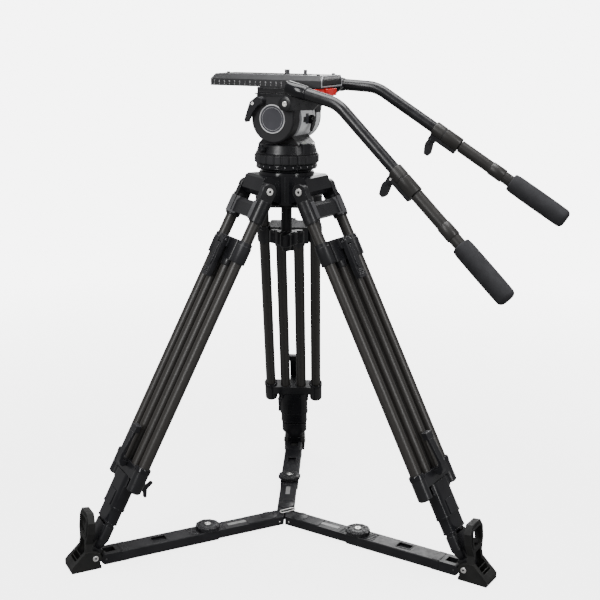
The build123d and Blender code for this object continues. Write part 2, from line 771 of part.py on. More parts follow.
def bar_rod(head, name):
    """The sliding rod of a pan bar, with its end collar."""
    second = bar_frames(head, name)[2]
    with BuildPart() as body:
        with BuildSketch(face(second, 34)):
            Circle(BAR_ROD)
        extrude(amount=BAR_RUN2[name] + 139)
        with BuildSketch(face(second, BAR_RUN2[name] + 128)):
            Circle(11)
        extrude(amount=45)
    return body.part


def bar_grip(head, name):
    """The soft round grip on the rod's end."""
    second = bar_frames(head, name)[2]
    with BuildPart() as body:
        with BuildSketch(face(second, BAR_RUN2[name] + 173)):
            Circle(BAR_GRIP)
        extrude(amount=124)
        fillet(body.edges().filter_by(GeomType.CIRCLE), 8)
    return body.part


save(crown(), "crown")
save(bowl_clamp(), "bowl_clamp")
save(pan_base(), "pan_base")
save(drag_ring(), "drag_ring")

for leg_name, leg_azimuth in LEGS.items():
    leg = leg_frame(leg_azimuth)
    arm = radial(leg_azimuth)
    save(yoke(leg), f"{leg_name}_leg_yoke")
    save(tube_pair(leg, OUTER_Y, 40, 606, TUBE, TUBE_BORE), f"{leg_name}_upper_tubes")
    save(tube_bridge(leg), f"{leg_name}_tube_bridge")
    save(slider_clamp(leg), f"{leg_name}_slider_clamp")
    save(tube_pair(leg, MIDDLE_Y, 113, 654, TUBE, TUBE_BORE), f"{leg_name}_middle_tubes")
    save(lower_clamp(leg), f"{leg_name}_lower_clamp")
    save(lower_leg(leg), f"{leg_name}_lower_leg")
    save(lever(leg, SLIDER_TOP + 10, 62, 14), f"{leg_name}_upper_lever")
    save(lever(leg, 581, 62, 13), f"{leg_name}_lower_lever")
    save(wing_knob(leg), f"{leg_name}_wing_knob")
    save(foot(radial(leg_azimuth, AXLE_R)), f"{leg_name}_foot")
    save(arm_end(arm), f"{leg_name}_arm_end")
    save(arm_outer(arm), f"{leg_name}_arm_outer")
    save(arm_inner(arm), f"{leg_name}_arm_inner")

head = radial(HEAD_REAR)
save(head_body(head), "head_body")
save(side_casings(head), "side_casings")
save(plate_carrier(head), "plate_carrier")
save(camera_plate(head), "camera_plate")
save(camera_screws(head), "camera_screws")
save(release_lever(head), "release_lever")
save(tilt_brake(head), "tilt_brake")
save(pan_brake(), "pan_brake")

for bar_name in BAR_PITCH:
    save(pan_bar(head, bar_name), f"{bar_name}_pan_bar")
    save(bar_rod(head, bar_name), f"{bar_name}_bar_rod")
    save(bar_grip(head, bar_name), f"{bar_name}_bar_grip")
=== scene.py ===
"""The looks of the tripod and its fluid head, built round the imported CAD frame.

Numbers are millimetres, turned into the CAD frame's metres by MM in basis() and in Piece. The origin
is on the axis of the crown at the face that the camera rests on, and heights are given from the floor,
REST below it. The legs stand at 90, 210 and 330 degrees about Z, and the head's rear is at HEAD_REAR.
"""

import json
from math import atan2, cos, pi, radians, sin

import bmesh
import bpy
from mathutils import Matrix, Vector


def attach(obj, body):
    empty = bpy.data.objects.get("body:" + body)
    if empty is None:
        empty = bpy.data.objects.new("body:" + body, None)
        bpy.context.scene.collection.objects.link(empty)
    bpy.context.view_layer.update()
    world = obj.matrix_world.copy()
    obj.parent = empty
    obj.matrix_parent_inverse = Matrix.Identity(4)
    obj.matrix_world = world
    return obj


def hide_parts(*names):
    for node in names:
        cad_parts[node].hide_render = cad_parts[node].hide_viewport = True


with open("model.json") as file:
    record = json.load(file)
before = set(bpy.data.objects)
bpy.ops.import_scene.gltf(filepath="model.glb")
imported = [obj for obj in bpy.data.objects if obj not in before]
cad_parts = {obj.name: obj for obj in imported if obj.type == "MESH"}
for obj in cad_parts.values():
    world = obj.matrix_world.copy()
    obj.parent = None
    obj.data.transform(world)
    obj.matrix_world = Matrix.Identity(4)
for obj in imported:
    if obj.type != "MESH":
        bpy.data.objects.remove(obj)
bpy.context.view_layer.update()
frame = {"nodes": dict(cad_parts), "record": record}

# ---- driving dimensions, as in the CAD model ----

MM = 0.001
REST = 918.5
LEGS = {"left": 210, "right": 330, "back": 90}
PIN_R, PIN_Z = 63.0, 709.5
AXLE_R, AXLE_Z = 419.0, 22.7
LEG_ANGLE = atan2(AXLE_R - PIN_R, PIN_Z - AXLE_Z)
OUTER_Y, MIDDLE_Y = 52.7, 18.5
CHEEK_OUT = 56.0
SLIDER_TOP, SLIDER_END = 104, 146
BRIDGE_TOP = 571
CLAMP_STEP, CLAMP_END = 670, 700
ARM_Z, ARM_HALF_T, ARM_HALF_W = 13.5, 10.5, 19.5
INNER_HALF_T = ARM_HALF_T - 1.8
ARM_TOP, INNER_TOP = ARM_Z + ARM_HALF_T, ARM_Z + INNER_HALF_T
ARM_HINGE_R, KNOB_R = 396.0, 176.0
FOOT_OUT = 24.5
CROWN_OUT, CROWN_BOTTOM, BOWL_Z = 52.0, 680, 740
HEAD_REAR = -23.8
RING_R, RING_Z0, RING_Z1 = 61.0, 757, 773
BASE_FOOT_R, BASE_TOP, TILT_Z = 58.5, 793, 841
BLOCK_R, CASING_OUT = 42.0, 60.0
CARRIER_Z0, CARRIER_HALF = 887, 54.0
PLATE_Z0, PLATE_Z1 = 898, 920
PLATE_FRONT, PLATE_REAR, PLATE_HALF = -140, 92, 45
BEVEL_IN, BEVEL_DOWN = 7, 9
ROSETTE_X, ROSETTE_Z, BRACKET_OUT = 32, 870, 71.6
BRAKE_X, BRAKE_Z = -22, 873
BAR_PITCH = {"left": -13.5, "right": -3.0}
BAR_BEND, BAR_SPLAY, BAR_LIFT = 29.0, 5.7, 32.0
BAR_RUN1, BAR_Y = 111.0, 81.0
BAR_RUN2 = {"left": 159.0, "right": 138.0}
GRIP_START, GRIP_LENGTH, GRIP_R = 173, 124, 18.2
SIDES = ((-1, "-y"), (1, "+y"))

# ---- camera and light ----

CAMERA_AT, CAMERA_TURN = (115.3, -2069.1, 83.7), (16.2, -0.3, 3.19)
LENS, SENSOR, SHIFT = 64.4, 36, (0.021, 0.067)
SURROUND_SEEN, SURROUND_LIT, FLOOR_GLOW = 6.5, 0.35, 0.62
FLOOR_HALF_M, FLOOR_GAP_M = 14, 0.0004


# ---- frames ----


def basis(origin, x_dir, z_dir):
    """A frame as a matrix in metres, from its origin in millimetres and its X and Z directions."""
    x, z = Vector(x_dir).normalized(), Vector(z_dir).normalized()
    turned = Matrix((x, z.cross(x), z)).transposed().to_4x4()
    return Matrix.Translation(Vector(origin) * MM) @ turned


def radial(azimuth, radius=0.0, height=0.0):
    """A frame with +X outward at the azimuth and +Z up, at a height above the floor."""
    out = Vector((cos(radians(azimuth)), sin(radians(azimuth)), 0))
    return basis(out * radius + Vector((0, 0, height - REST)), out, (0, 0, 1))


def leg_frame(azimuth):
    """A frame at the crown pin: +X away from the centre, +Y tangential, +Z up along the leg."""
    base = radial(azimuth, PIN_R, PIN_Z)
    out, rise = base.col[0].xyz, base.col[2].xyz
    along = rise * cos(LEG_ANGLE) - out * sin(LEG_ANGLE)
    across = out * cos(LEG_ANGLE) + rise * sin(LEG_ANGLE)
    return basis(base.translation / MM, across, along)


def at(place, x=0.0, y=0.0, z=0.0):
    """A frame moved along its own axes."""
    return place @ Matrix.Translation(Vector((x, y, z)) * MM)


TURNS = {
    "+x": Matrix.Rotation(pi / 2, 4, "Y"),
    "-x": Matrix.Rotation(-pi / 2, 4, "Y"),
    "+y": Matrix.Rotation(-pi / 2, 4, "X"),
    "-y": Matrix.Rotation(pi / 2, 4, "X"),
    "-z": Matrix.Rotation(pi, 4, "X"),
}


def facing(place, direction, spin=0.0):
    """A frame turned so that its Z points along one of its own axes, then spun about it."""
    return place @ TURNS[direction] @ Matrix.Rotation(radians(spin), 4, "Z")


def both_sides(place, x, y, z):
    """The two frames on the sides of a part, each with its Z outward."""
    return [facing(at(place, x, hand * y, z), way) for hand, way in SIDES]


HEAD = radial(HEAD_REAR)
LEG = {name: leg_frame(azimuth) for name, azimuth in LEGS.items()}
ARM = {name: radial(azimuth) for name, azimuth in LEGS.items()}


def bar_frames(name):
    """The frame of a bar's first run at its rosette, and the frame after its bend."""
    hand = -1 if name == "left" else 1
    splay, pitch = radians(HEAD_REAR + hand * BAR_SPLAY), radians(BAR_PITCH[name])
    level, rise = Vector((cos(splay), sin(splay), 0)), Vector((0, 0, 1))
    along = level * cos(pitch) + rise * sin(pitch)
    up = rise * cos(pitch) - level * sin(pitch)
    first = basis(at(HEAD, ROSETTE_X, hand * BAR_Y, ROSETTE_Z).translation / MM, along, up)
    turn = radians(BAR_BEND)
    corner = at(first, BAR_RUN1, 0, BAR_LIFT).translation / MM
    second = basis(corner, along * cos(turn) - up * sin(turn), up * cos(turn) + along * sin(turn))
    return first, second


# ---- materials ----


class Graph:
    """A node material in the making, with short names for what the finishes share."""

    def __init__(self, name):
        self.material = bpy.data.materials.new(name)
        self.material.use_nodes = True
        self.tree = self.material.node_tree
        self.shader = self.tree.nodes["Principled BSDF"]
        self.place = self.node("ShaderNodeTexCoord").outputs["Object"]

    def node(self, kind, uniform=None, **settings):
        """A new node, with uniform values on its own sockets."""
        made = self.tree.nodes.new(kind)
        for key, value in settings.items():
            setattr(made, key, value)
        for key, value in (uniform or {}).items():
            made.inputs[key].default_value = value
        return made

    def link(self, source, socket):
        self.tree.links.new(source, socket)

    def set(self, **values):
        """Uniform values on the shader's own sockets."""
        for key, value in values.items():
            self.shader.inputs[key.replace("_", " ")].default_value = value

    def noise(self, scale, detail=3.0, rough=0.55, place=None):
        made = self.node("ShaderNodeTexNoise", {"Scale": scale, "Detail": detail, "Roughness": rough})
        self.link(place or self.place, made.inputs["Vector"])
        return made.outputs["Fac"]

    def cells(self, scale):
        made = self.node("ShaderNodeTexVoronoi", {"Scale": scale})
        self.link(self.place, made.inputs["Vector"])
        return made.outputs["Distance"]

    def ramp(self, source, low, high, start=0.35, end=0.65):
        """A value mapped from start..end to low..high."""
        limits = {"From Min": start, "From Max": end, "To Min": low, "To Max": high}
        made = self.node("ShaderNodeMapRange", limits)
        self.link(source, made.inputs["Value"])
        return made.outputs["Result"]

    def times(self, first, second):
        made = self.node("ShaderNodeMath", operation="MULTIPLY")
        self.link(first, made.inputs[0])
        self.link(second, made.inputs[1])
        return made.outputs[0]

    def blend(self, factor, first, second):
        """A colour mix of two colours or sockets."""
        made = self.node("ShaderNodeMix", data_type="RGBA")
        self.link(factor, made.inputs["Factor"])
        for socket, value in ((made.inputs["A"], first), (made.inputs["B"], second)):
            if isinstance(value, bpy.types.NodeSocket):
                self.link(value, socket)
            else:
                socket.default_value = (*value, 1)
        return made.outputs["Result"]

    def colour(self, socket):
        self.link(socket, self.shader.inputs["Base Color"])

    def rough(self, socket):
        self.link(socket, self.shader.inputs["Roughness"])

    def local(self, place, scale=(1, 1, 1)):
        """Coordinates in a frame of the model, so that a grain follows a part."""
        inverse = place.inverted()
        made = self.node("ShaderNodeMapping", vector_type="POINT")
        self.link(self.place, made.inputs["Vector"])
        made.inputs["Location"].default_value = inverse.translation
        made.inputs["Rotation"].default_value = inverse.to_euler()
        stretched = self.node("ShaderNodeVectorMath", operation="MULTIPLY")
        self.link(made.outputs["Vector"], stretched.inputs[0])
        stretched.inputs[1].default_value = scale
        return stretched.outputs["Vector"]

    def edges(self, width):
        """1 on the part's sharp edges, 0 elsewhere."""
        bevel = self.node("ShaderNodeBevel", {"Radius": width}, samples=4)
        true = self.node("ShaderNodeNewGeometry")
        dot = self.node("ShaderNodeVectorMath", operation="DOT_PRODUCT")
        self.link(bevel.outputs["Normal"], dot.inputs[0])
        self.link(true.outputs["Normal"], dot.inputs[1])
        return self.ramp(dot.outputs["Value"], 1.0, 0.0, 0.80, 0.99)

    def bump(self, height, depth, strength=1.0, edge=0.0):
        """A surface texture, on top of slightly rounded edges."""
        made = self.node("ShaderNodeBump", {"Distance": depth, "Strength": strength})
        self.link(height, made.inputs["Height"])
        if edge:
            bevel = self.node("ShaderNodeBevel", {"Radius": edge}, samples=4)
            self.link(bevel.outputs["Normal"], made.inputs["Normal"])
        self.link(made.outputs["Normal"], self.shader.inputs["Normal"])


def painted(name, dark, light, rough, grain=1800, depth=0.000015, edge_wear_and_light=0.06, specular=0.3, coat=0.0):
    """Fine-textured paint or moulded plastic, paler on its edges: partly wear, partly a painted edge
    highlight.
    """
    g = Graph(name)
    base = g.blend(g.ramp(g.noise(22, 4), 0, 1), dark, light)
    # Paler edges: partly wear, partly a painted highlight that stands in for light caught along the edges.
    edge_light_and_wear_mask = g.times(g.edges(0.0009), g.ramp(g.noise(160, 3), 0.15, 0.75, 0.40, 0.62))
    g.colour(g.blend(edge_light_and_wear_mask, base, (edge_wear_and_light, edge_wear_and_light, edge_wear_and_light * 1.03)))
    g.rough(g.ramp(g.noise(70, 5), rough - 0.05, rough + 0.06))
    g.bump(g.noise(grain, 2), depth, 0.6, edge=0.0007)
    g.set(Specular_IOR_Level=specular, Coat_Weight=coat, Coat_Roughness=0.12)
    return g.material


def carbon(name, place):
    """Wrapped carbon tube: fine fibres along the tube, a faint cross weave and a clear coat."""
    g = Graph(name)
    fibre = g.noise(2600, 3, 0.6, g.local(place, (1, 1, 0.03)))
    bands = {"wave_type": "BANDS", "bands_direction": "DIAGONAL"}
    weave = g.node("ShaderNodeTexWave", {"Scale": 190, "Distortion": 1.2}, **bands)
    g.link(g.local(place), weave.inputs["Vector"])
    shade = g.blend(g.ramp(fibre, 0, 1, 0.3, 0.7), (0.0100, 0.0089, 0.0080), (0.030, 0.0265, 0.0235))
    g.colour(g.blend(g.ramp(weave.outputs["Fac"], 0.0, 0.35, 0, 1), shade, (0.008, 0.0072, 0.0066)))
    g.rough(g.ramp(fibre, 0.36, 0.46, 0.3, 0.7))
    g.bump(fibre, 0.000008, 0.5)
    g.set(Specular_IOR_Level=0.45, Coat_Weight=0.15, Coat_Roughness=0.34)
    return g.material


def brushed(name, dark, light, rough, specular=0.5):
    """Bare or plated metal with fine machining marks."""
    g = Graph(name)
    lines = g.noise(1500, 3, 0.6)
    g.colour(g.blend(g.ramp(lines, 0, 1), dark, light))
    g.rough(g.ramp(lines, rough - 0.05, rough + 0.08, 0.3, 0.7))
    g.bump(lines, 0.00003, 0.4, edge=0.0004)
    g.set(Metallic=1.0, Specular_IOR_Level=specular)
    return g.material


def anodised(name, dark, light, rub, rough):
    """Satin anodising with a fine grain, paler on its edges."""
    g = Graph(name)
    grain = g.noise(1900, 3)
    base = g.blend(g.ramp(g.noise(30, 4), 0, 1), dark, light)
    g.colour(g.blend(g.edges(0.0012), base, rub))
    g.rough(g.ramp(grain, rough - 0.05, rough + 0.07, 0.3, 0.7))
    g.bump(grain, 0.00003, 0.5, edge=0.0010)
    g.set(Metallic=0.3, Specular_IOR_Level=0.5)
    return g.material


def rubber(name, dark, light, pitch=1300):
    """Moulded black rubber with a soft speckle."""
    g = Graph(name)
    base = g.blend(g.ramp(g.noise(40, 5), 0, 1), dark, light)
    g.colour(g.blend(g.edges(0.0012), base, (0.022, 0.022, 0.021)))
    g.rough(g.ramp(g.noise(90, 4), 0.55, 0.72))
    g.bump(g.noise(pitch, 3), 0.00003, 0.6, edge=0.0011)
    g.set(Specular_IOR_Level=0.25)
    return g.material


def foam(name):
    """Closed-cell foam rubber: charcoal, matt and finely pitted, with painted shade in its pits."""
    g = Graph(name)
    pits = g.cells(900)
    base = g.blend(g.ramp(g.noise(60, 4), 0, 1), (0.0175, 0.0175, 0.0195), (0.0255, 0.0255, 0.0282))
    # Darker in the pits: painted shade in the foam's dents.
    g.colour(g.blend(g.ramp(pits, 0.75, 0.0, 0.0, 0.35), base, (0.007, 0.007, 0.008)))
    g.rough(g.ramp(pits, 0.95, 0.80, 0.0, 0.6))
    g.bump(pits, 0.00006, 0.6)
    g.set(Specular_IOR_Level=0.25)
    return g.material


def enamel(name, dark, light, rough=0.22, coat=0.5):
    """Glossy coloured plastic or ink with a faint mould flow."""
    g = Graph(name)
    g.colour(g.blend(g.ramp(g.noise(35, 3), 0, 1), dark, light))
    g.rough(g.ramp(g.noise(200, 3), rough - 0.03, rough + 0.06))
    g.bump(g.noise(420, 2), 0.00003, 0.3, edge=0.0006)
    g.set(Coat_Weight=coat, Coat_Roughness=0.08)
    return g.material


FINISH = {
    # The casting's pale edges are partly wear, partly a painted highlight for light caught along the edges.
    "casting": painted(
        "black_casting", (0.0056, 0.0056, 0.0068), (0.0100, 0.0100, 0.0118), 0.30, edge_wear_and_light=0.11, specular=0.4
    ),
    "gloss": painted("black_gloss", (0.0051, 0.0051, 0.0065), (0.0093, 0.0093, 0.011), 0.16, 700, 0.000006),
    "plastic": painted(
        "black_plastic", (0.0085, 0.0085, 0.0102), (0.0145, 0.0145, 0.0167), 0.38, 1500, 0.00002
    ),
    # Very pale edges: a painted highlight standing in for light caught along the edges of levers and knobs,
    # with some wear.
    "lit_edge_plastic": painted("wear_and_edge_highlight_plastic", (0.0076, 0.0076, 0.0092), (0.0133, 0.0133, 0.0153), 0.36, edge_wear_and_light=0.55),
    "cover": painted(
        "grey_black_cover", (0.0145, 0.0145, 0.0161), (0.0213, 0.0213, 0.0235), 0.46, 2400, 0.00003
    ),
    # Pale edges: partly wear, partly a painted edge highlight.
    "panel": painted(
        "grey_panel", (0.036, 0.036, 0.0396), (0.0528, 0.0528, 0.0564), 0.50, 2600, 0.00003, 0.22
    ),
    "rod": painted(
        "warm_black_rod", (0.0182, 0.0173, 0.0165), (0.0257, 0.0243, 0.0232), 0.36, 2600, 0.000008
    ),
    # Near-black: painted shade where it fills screw sockets and grooves, and the own colour of the plate
    # stops.
    "black_and_shade": painted("near_black_and_recess_shade", (0.002, 0.002, 0.002), (0.0035, 0.0035, 0.0035), 0.6, edge_wear_and_light=0.006),
    "plate_grey": anodised(
        "grey_anodised", (0.020, 0.020, 0.0215), (0.029, 0.029, 0.031), (0.09, 0.09, 0.095), 0.36
    ),
    "aluminium": anodised(
        "pale_aluminium", (0.26, 0.265, 0.28), (0.36, 0.365, 0.38), (0.50, 0.50, 0.52), 0.34
    ),
    "steel": brushed("bright_steel", (0.74, 0.73, 0.71), (0.90, 0.89, 0.87), 0.38),
    "dark_steel": brushed("dark_steel", (0.085, 0.085, 0.09), (0.14, 0.14, 0.145), 0.36),
    "silver": enamel("silver_cover", (0.64, 0.65, 0.67), (0.82, 0.83, 0.84), 0.24),
    "rubber": rubber("black_rubber", (0.0076, 0.0076, 0.0076), (0.0145, 0.0145, 0.0139)),
    "pad": rubber("ribbed_pad", (0.0149, 0.0149, 0.0149), (0.0243, 0.0243, 0.0243), 700),
    "red_lever": enamel("red_enamel", (0.60, 0.010, 0.010), (0.78, 0.018, 0.016)),
    "foam": foam("charcoal_foam"),
    "ink": enamel("white_print", (0.50, 0.50, 0.51), (0.62, 0.62, 0.63), 0.45, 0.0),
    "badge": enamel("badge_grey", (0.030, 0.030, 0.038), (0.046, 0.046, 0.056), 0.34, 0.3),
    "label": anodised("label_foil", (0.20, 0.20, 0.20), (0.28, 0.28, 0.28), (0.4, 0.4, 0.4), 0.40),
    "vial": enamel("level_vial", (0.42, 0.52, 0.20), (0.55, 0.65, 0.30), 0.10),
}
CARBON = {name: carbon(f"carbon_{name}", place) for name, place in LEG.items()}
SHINY_NODES = ("crown", "pan_base", "left_lower_clamp", "right_lower_clamp", "back_lower_clamp")
OWN_FINISH = {"side_casings": "cover", "camera_screws": "dark_steel", "bowl_clamp": "lit_edge_plastic"}


def dress_frame():
    """Give each CAD node the finish of its slot, with smooth shading across shallow edges."""
    for part in frame["record"]["subparts"]:
        node, slot = part["node"], part["material_slot"]
        if slot == "carbon_tube":
            finish = CARBON[node.split("_")[0]]
        elif node in SHINY_NODES:
            finish = FINISH["gloss"]
        elif node in OWN_FINISH:
            finish = FINISH[OWN_FINISH[node]]
        else:
            finish = FINISH[slot]
        mesh = frame["nodes"][node].data
        mesh.materials.clear()
        mesh.materials.append(finish)
        mesh.polygons.foreach_set("use_smooth", [True] * len(mesh.polygons))
        mesh.set_sharp_from_angle(angle=radians(30))


# ---- pieces ----


class Piece:
    """One mesh of a named finish, gathered from closed solids in mm, that rides on one CAD body."""

    def __init__(self, name, body, finish, slot="casting"):
        self.name, self.body, self.finish, self.slot = name, body, FINISH[finish], slot
        self.bm = bmesh.new()

    def add(self, place, points, faces):
        made = [self.bm.verts.new(place @ (Vector(p) * MM)) for p in points]
        for face in faces:
            self.bm.faces.new([made[i] for i in face])

    def lathe(self, place, profile, steps=40, closed=False):
        """Turn a profile of (radius, height) about the frame's Z. A radius of 0 is a point on the axis."""
        points, rows = [], []
        for radius, height in profile:
            if radius == 0:
                rows.append([len(points)] * steps)
                points.append((0, 0, height))
                continue
            rows.append([len(points) + k for k in range(steps)])
            turns = [2 * pi * k / steps for k in range(steps)]
            points += [(radius * cos(a), radius * sin(a), height) for a in turns]
        pairs = list(zip(rows, rows[1:])) + ([(rows[-1], rows[0])] if closed else [])
        faces = []
        for low, high in pairs:
            for k in range(steps):
                ring = (low[k], low[(k + 1) % steps], high[(k + 1) % steps], high[k])
                corners = [i for n, i in enumerate(ring) if i not in ring[:n]]
                if len(corners) > 2:
                    faces.append(corners)
        self.add(place, points, faces)

    def ring(self, place, profile, steps):
        """Turn a closed profile about the frame's Z, clear of the axis."""
        self.lathe(place, profile, steps, closed=True)

    def prism(self, place, outline, low, high, hole=None):
        """Extrude an outline of (x, y) from low to high, with an optional hole of as many points."""
        count = len(outline)
        points = [(x, y, low) for x, y in outline] + [(x, y, high) for x, y in outline]
        around = [(k, (k + 1) % count) for k in range(count)]
        faces = [(a, b, b + count, a + count) for a, b in around]
        if hole:
            points += [(x, y, low) for x, y in hole] + [(x, y, high) for x, y in hole]
            inner = 2 * count
            faces += [(b + inner, a + inner, a + inner + count, b + inner + count) for a, b in around]
            faces += [(b, a, a + inner, b + inner) for a, b in around]
            faces += [(a + count, b + count, b + inner + count, a + inner + count) for a, b in around]
        else:
            faces += [tuple(reversed(range(count))), tuple(range(count, 2 * count))]
        self.add(place, points, faces)

    def block(self, place, x, y, z):
        """A box centred on the frame in X and Y, standing on it."""
        self.prism(place, [(-x / 2, -y / 2), (x / 2, -y / 2), (x / 2, y / 2), (-x / 2, y / 2)], 0, z)

    def done(self, bevel=0.3, replaces=()):
        """Make the object, round its edges, and let it ride."""
        bmesh.ops.recalc_face_normals(self.bm, faces=self.bm.faces)
        mesh = bpy.data.meshes.new(self.name)
        self.bm.to_mesh(mesh)
        self.bm.free()
        mesh.materials.append(self.finish)
        mesh.polygons.foreach_set("use_smooth", [True] * len(mesh.polygons))
        mesh.set_sharp_from_angle(angle=radians(35))
        made = bpy.data.objects.new(self.name, mesh)
        bpy.context.scene.collection.objects.link(made)
        if bevel:
            rounded = made.modifiers.new("rounded", "BEVEL")
            rounded.width, rounded.segments = bevel * MM, 2
            rounded.limit_method, rounded.angle_limit = "ANGLE", radians(35)
            rounded.harden_normals = True
        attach(made, self.body)
        if replaces:
            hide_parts(*replaces)
        return made


def arc(radius, start, end, steps=8, x=0.0, y=0.0):
    """Points along an arc, in degrees."""
    turns = [radians(start + (end - start) * k / steps) for k in range(steps + 1)]
    return [(x + radius * cos(a), y + radius * sin(a)) for a in turns]


def rounded_box(x, y, corner, steps=4):
    """The outline of a rectangle with round corners."""
    points = []
    for k, (sx, sy) in enumerate(((1, 1), (-1, 1), (-1, -1), (1, -1))):
        middle = (sx * (x / 2 - corner), sy * (y / 2 - corner))
        points += arc(corner, 90 * k, 90 * k + 90, steps, *middle)
    return points


def scalloped(radius, depth, count, steps=10, share=0.5):
    """A round outline with shallow flutes."""
    points = []
    for k in range(count * steps):
        phase = (k % steps) / steps
        dip = depth * sin(pi * phase / share) if phase < share else 0.0
        turn = 2 * pi * k / (count * steps)
        points.append(((radius - dip) * cos(turn), (radius - dip) * sin(turn)))
    return points


def socket_screw(piece, place, radius, height=1.6, hole=0.42):
    """A dished screw head with a hexagonal socket, standing on the frame."""
    inner = radius * hole
    profile = [(radius, -0.4), (radius, height * 0.6), (radius * 0.86, height), (inner, height)]
    piece.lathe(place, profile + [(inner * 0.9, height * 0.25), (0, height * 0.25)], 36)


def ring_screws(name, body, places, radii, heights, socket_slot, depth):
    """Ring-headed screws, each round a hexagonal socket whose near-black floor is painted shade."""
    bore, foot, shoulder, top = radii
    low, middle, high = heights
    screws = Piece(f"{name}_screws", body, "steel", "steel")
    # The socket floors are near-black: painted shade in the recess.
    sockets = Piece(f"{name}_sockets", body, "black_and_shade", socket_slot)
    for place in places:
        screws.ring(place, [(bore, low), (foot, low), (shoulder, middle), (top, high), (bore, high)], 40)
        sockets.lathe(place, [(0, -0.4), (bore, -0.4), (bore, depth), (0, depth)], 6)
    screws.done(0.2)
    sockets.done(0)


# ---- crown and legs ----


def crown_details():
    """The three ribs between the legs, and the bright screws round the bowl's rim."""
    ribs = Piece("crown_ribs", "crown", "casting")
    screws = Piece("bowl_rim_screws", "crown", "steel", "steel")
    for azimuth in (30, 150, 270):
        wall = facing(radial(azimuth, CROWN_OUT - 1, (CROWN_BOTTOM + BOWL_Z) / 2), "+x")
        ribs.prism(wall, rounded_box(50, 3.2, 1.2), 0, 2.2)
        socket_screw(screws, facing(radial(azimuth + 14, CROWN_OUT, BOWL_Z - 9), "+x"), 1.8, 0.9)
    ribs.done(0.5)
    screws.done(0.15)
    rim = Piece("bowl_rim", "crown", "gloss")
    profile = [(CROWN_OUT - 2, -12), (CROWN_OUT + 0.8, -11), (CROWN_OUT + 1.4, -3), (CROWN_OUT, 0.4)]
    rim.ring(radial(0, 0, BOWL_Z), profile + [(49, 0.8), (49, -12)], 72)
    rim.done(0.4)


def yoke_details(name):
    """Ring screws on the hinge pin, and the flat grey panels on the outside of the sockets."""
    leg = LEG[name]
    sides = both_sides(leg, 0, CHEEK_OUT, 0)
    ring_screws(f"{name}_hinge", f"{name}_leg", sides, (2.5, 6.8, 7.0, 6.2), (-0.5, 0.5, 1.1), "casting", 0.3)
    panels = Piece(f"{name}_yoke_panels", f"{name}_leg", "panel")
    collars = Piece(f"{name}_socket_collars", f"{name}_leg", "casting")
    for hand in (-1, 1):
        inward = leg.col[0].xyz - hand * leg.col[1].xyz
        panel = basis(at(leg, 10.6, hand * 43.6, -43).translation / MM, leg.col[2].xyz, inward)
        panels.prism(panel, rounded_box(35, 21, 2.0), -4, 2.6)
        tube = at(leg, 0, hand * OUTER_Y, -62.5)
        collars.ring(tube, [(11.2, -1.6), (13.6, -1.6), (14.3, 0.6), (11.2, 0.6)], 48)
    panels.done(0.6)
    collars.done(0.3)


def slider_details(name):
    """The slider clamp's sleeves on the outer tubes, its cups on the middle ones, and its cam blocks."""
    leg, body = LEG[name], f"{name}_middle"
    sleeves = Piece(f"{name}_slider_sleeves", body, "plastic")
    for hand in (-1, 1):
        tube = at(leg, 0, hand * OUTER_Y, -SLIDER_END)
        tall = SLIDER_END - SLIDER_TOP
        outside = [(14.4, 1), (14.6, tall - 8), (13.4, tall - 7), (13.4, tall)]
        sleeves.ring(tube, [(11.4, 0), (13.8, 0)] + outside + [(11.4, tall)], 56)
    sleeves.done(0.4)
    cups = Piece(f"{name}_middle_cups", body, "casting")
    for hand in (-1, 1):
        tube = at(leg, 0, hand * MIDDLE_Y, -SLIDER_END - 12)
        cups.ring(tube, [(11.1, 0), (12.6, 0), (13.2, 1.5), (13.2, 13), (11.1, 13)], 48)
    cups.done(0.3)
    block = Piece(f"{name}_cam_block", body, "plastic", "plastic")
    for hand in (-1, 1):
        block.prism(facing(at(leg, 11.5, hand * 13, -SLIDER_TOP - 12), "+x"), rounded_box(20, 7, 2), 0, 6)
    block.done(0.6)


def lever_details(name, which, pivot, body):
    """A lever's dark pin ends, its thumb ribs and the raised spine along its blade."""
    leg = LEG[name]
    pins = Piece(f"{name}_{which}_lever_pins", body, "dark_steel", "steel")
    for side in both_sides(leg, 20.5, 12, -pivot):
        socket_screw(pins, side, 2.7, 0.9)
    pins.done(0.15)
    trim = Piece(f"{name}_{which}_lever_trim", body, "lit_edge_plastic", "plastic")
    spine = facing(at(leg, 26.2, 0, -pivot - 31), "+x")
    trim.prism(spine, rounded_box(46, 9, 3.5), 0, 1.6)
    for k in range(4):
        trim.block(at(leg, 27.6, 0, -pivot - 61 - 3.2 * k), 1.8, 18, 1.5)
    trim.done(0.4)


def clamp_lever(name):
    """The lower lever as a bent strip that bows away from the tubes and hooks back at its end."""
    leg = LEG[name]
    lever = Piece(f"{name}_clamp_lever", f"{name}_lower_lever", "lit_edge_plastic", "plastic")
    side = basis(at(leg, 0, 0, -BRIDGE_TOP - 10).translation / MM, leg.col[0].xyz, leg.col[1].xyz)
    outer = [(15.5, -3), (16, 6), (21, 9.5), (27, 8), (32, 1), (34, -12), (32, -34), (29.5, -60), (28, -72)]
    inner = [(20, -76), (19.5, -71), (23.5, -60), (26, -34), (27.5, -13), (25.5, -4), (21.5, -4)]
    lever.prism(side, outer + inner, -8.5, 8.5)
    lever.prism(side, [(19, -62), (30, -60), (30.5, -74), (19, -77)], -11.5, 11.5)
    lever.done(1.3, replaces=[f"{name}_lower_lever"])


def bridge_details(name):
    """Collars at the tops of the bridge's cups."""
    leg, body = LEG[name], f"{name}_leg"
    collars = Piece(f"{name}_bridge_collars", body, "gloss")
    for hand in (-1, 1):
        tube = at(leg, 0, hand * OUTER_Y, -BRIDGE_TOP)
        collars.ring(tube, [(11.2, -8), (14.9, -8), (14.9, 0), (13.8, 1.6), (11.2, 1.6)], 56)
    collars.done(0.3)


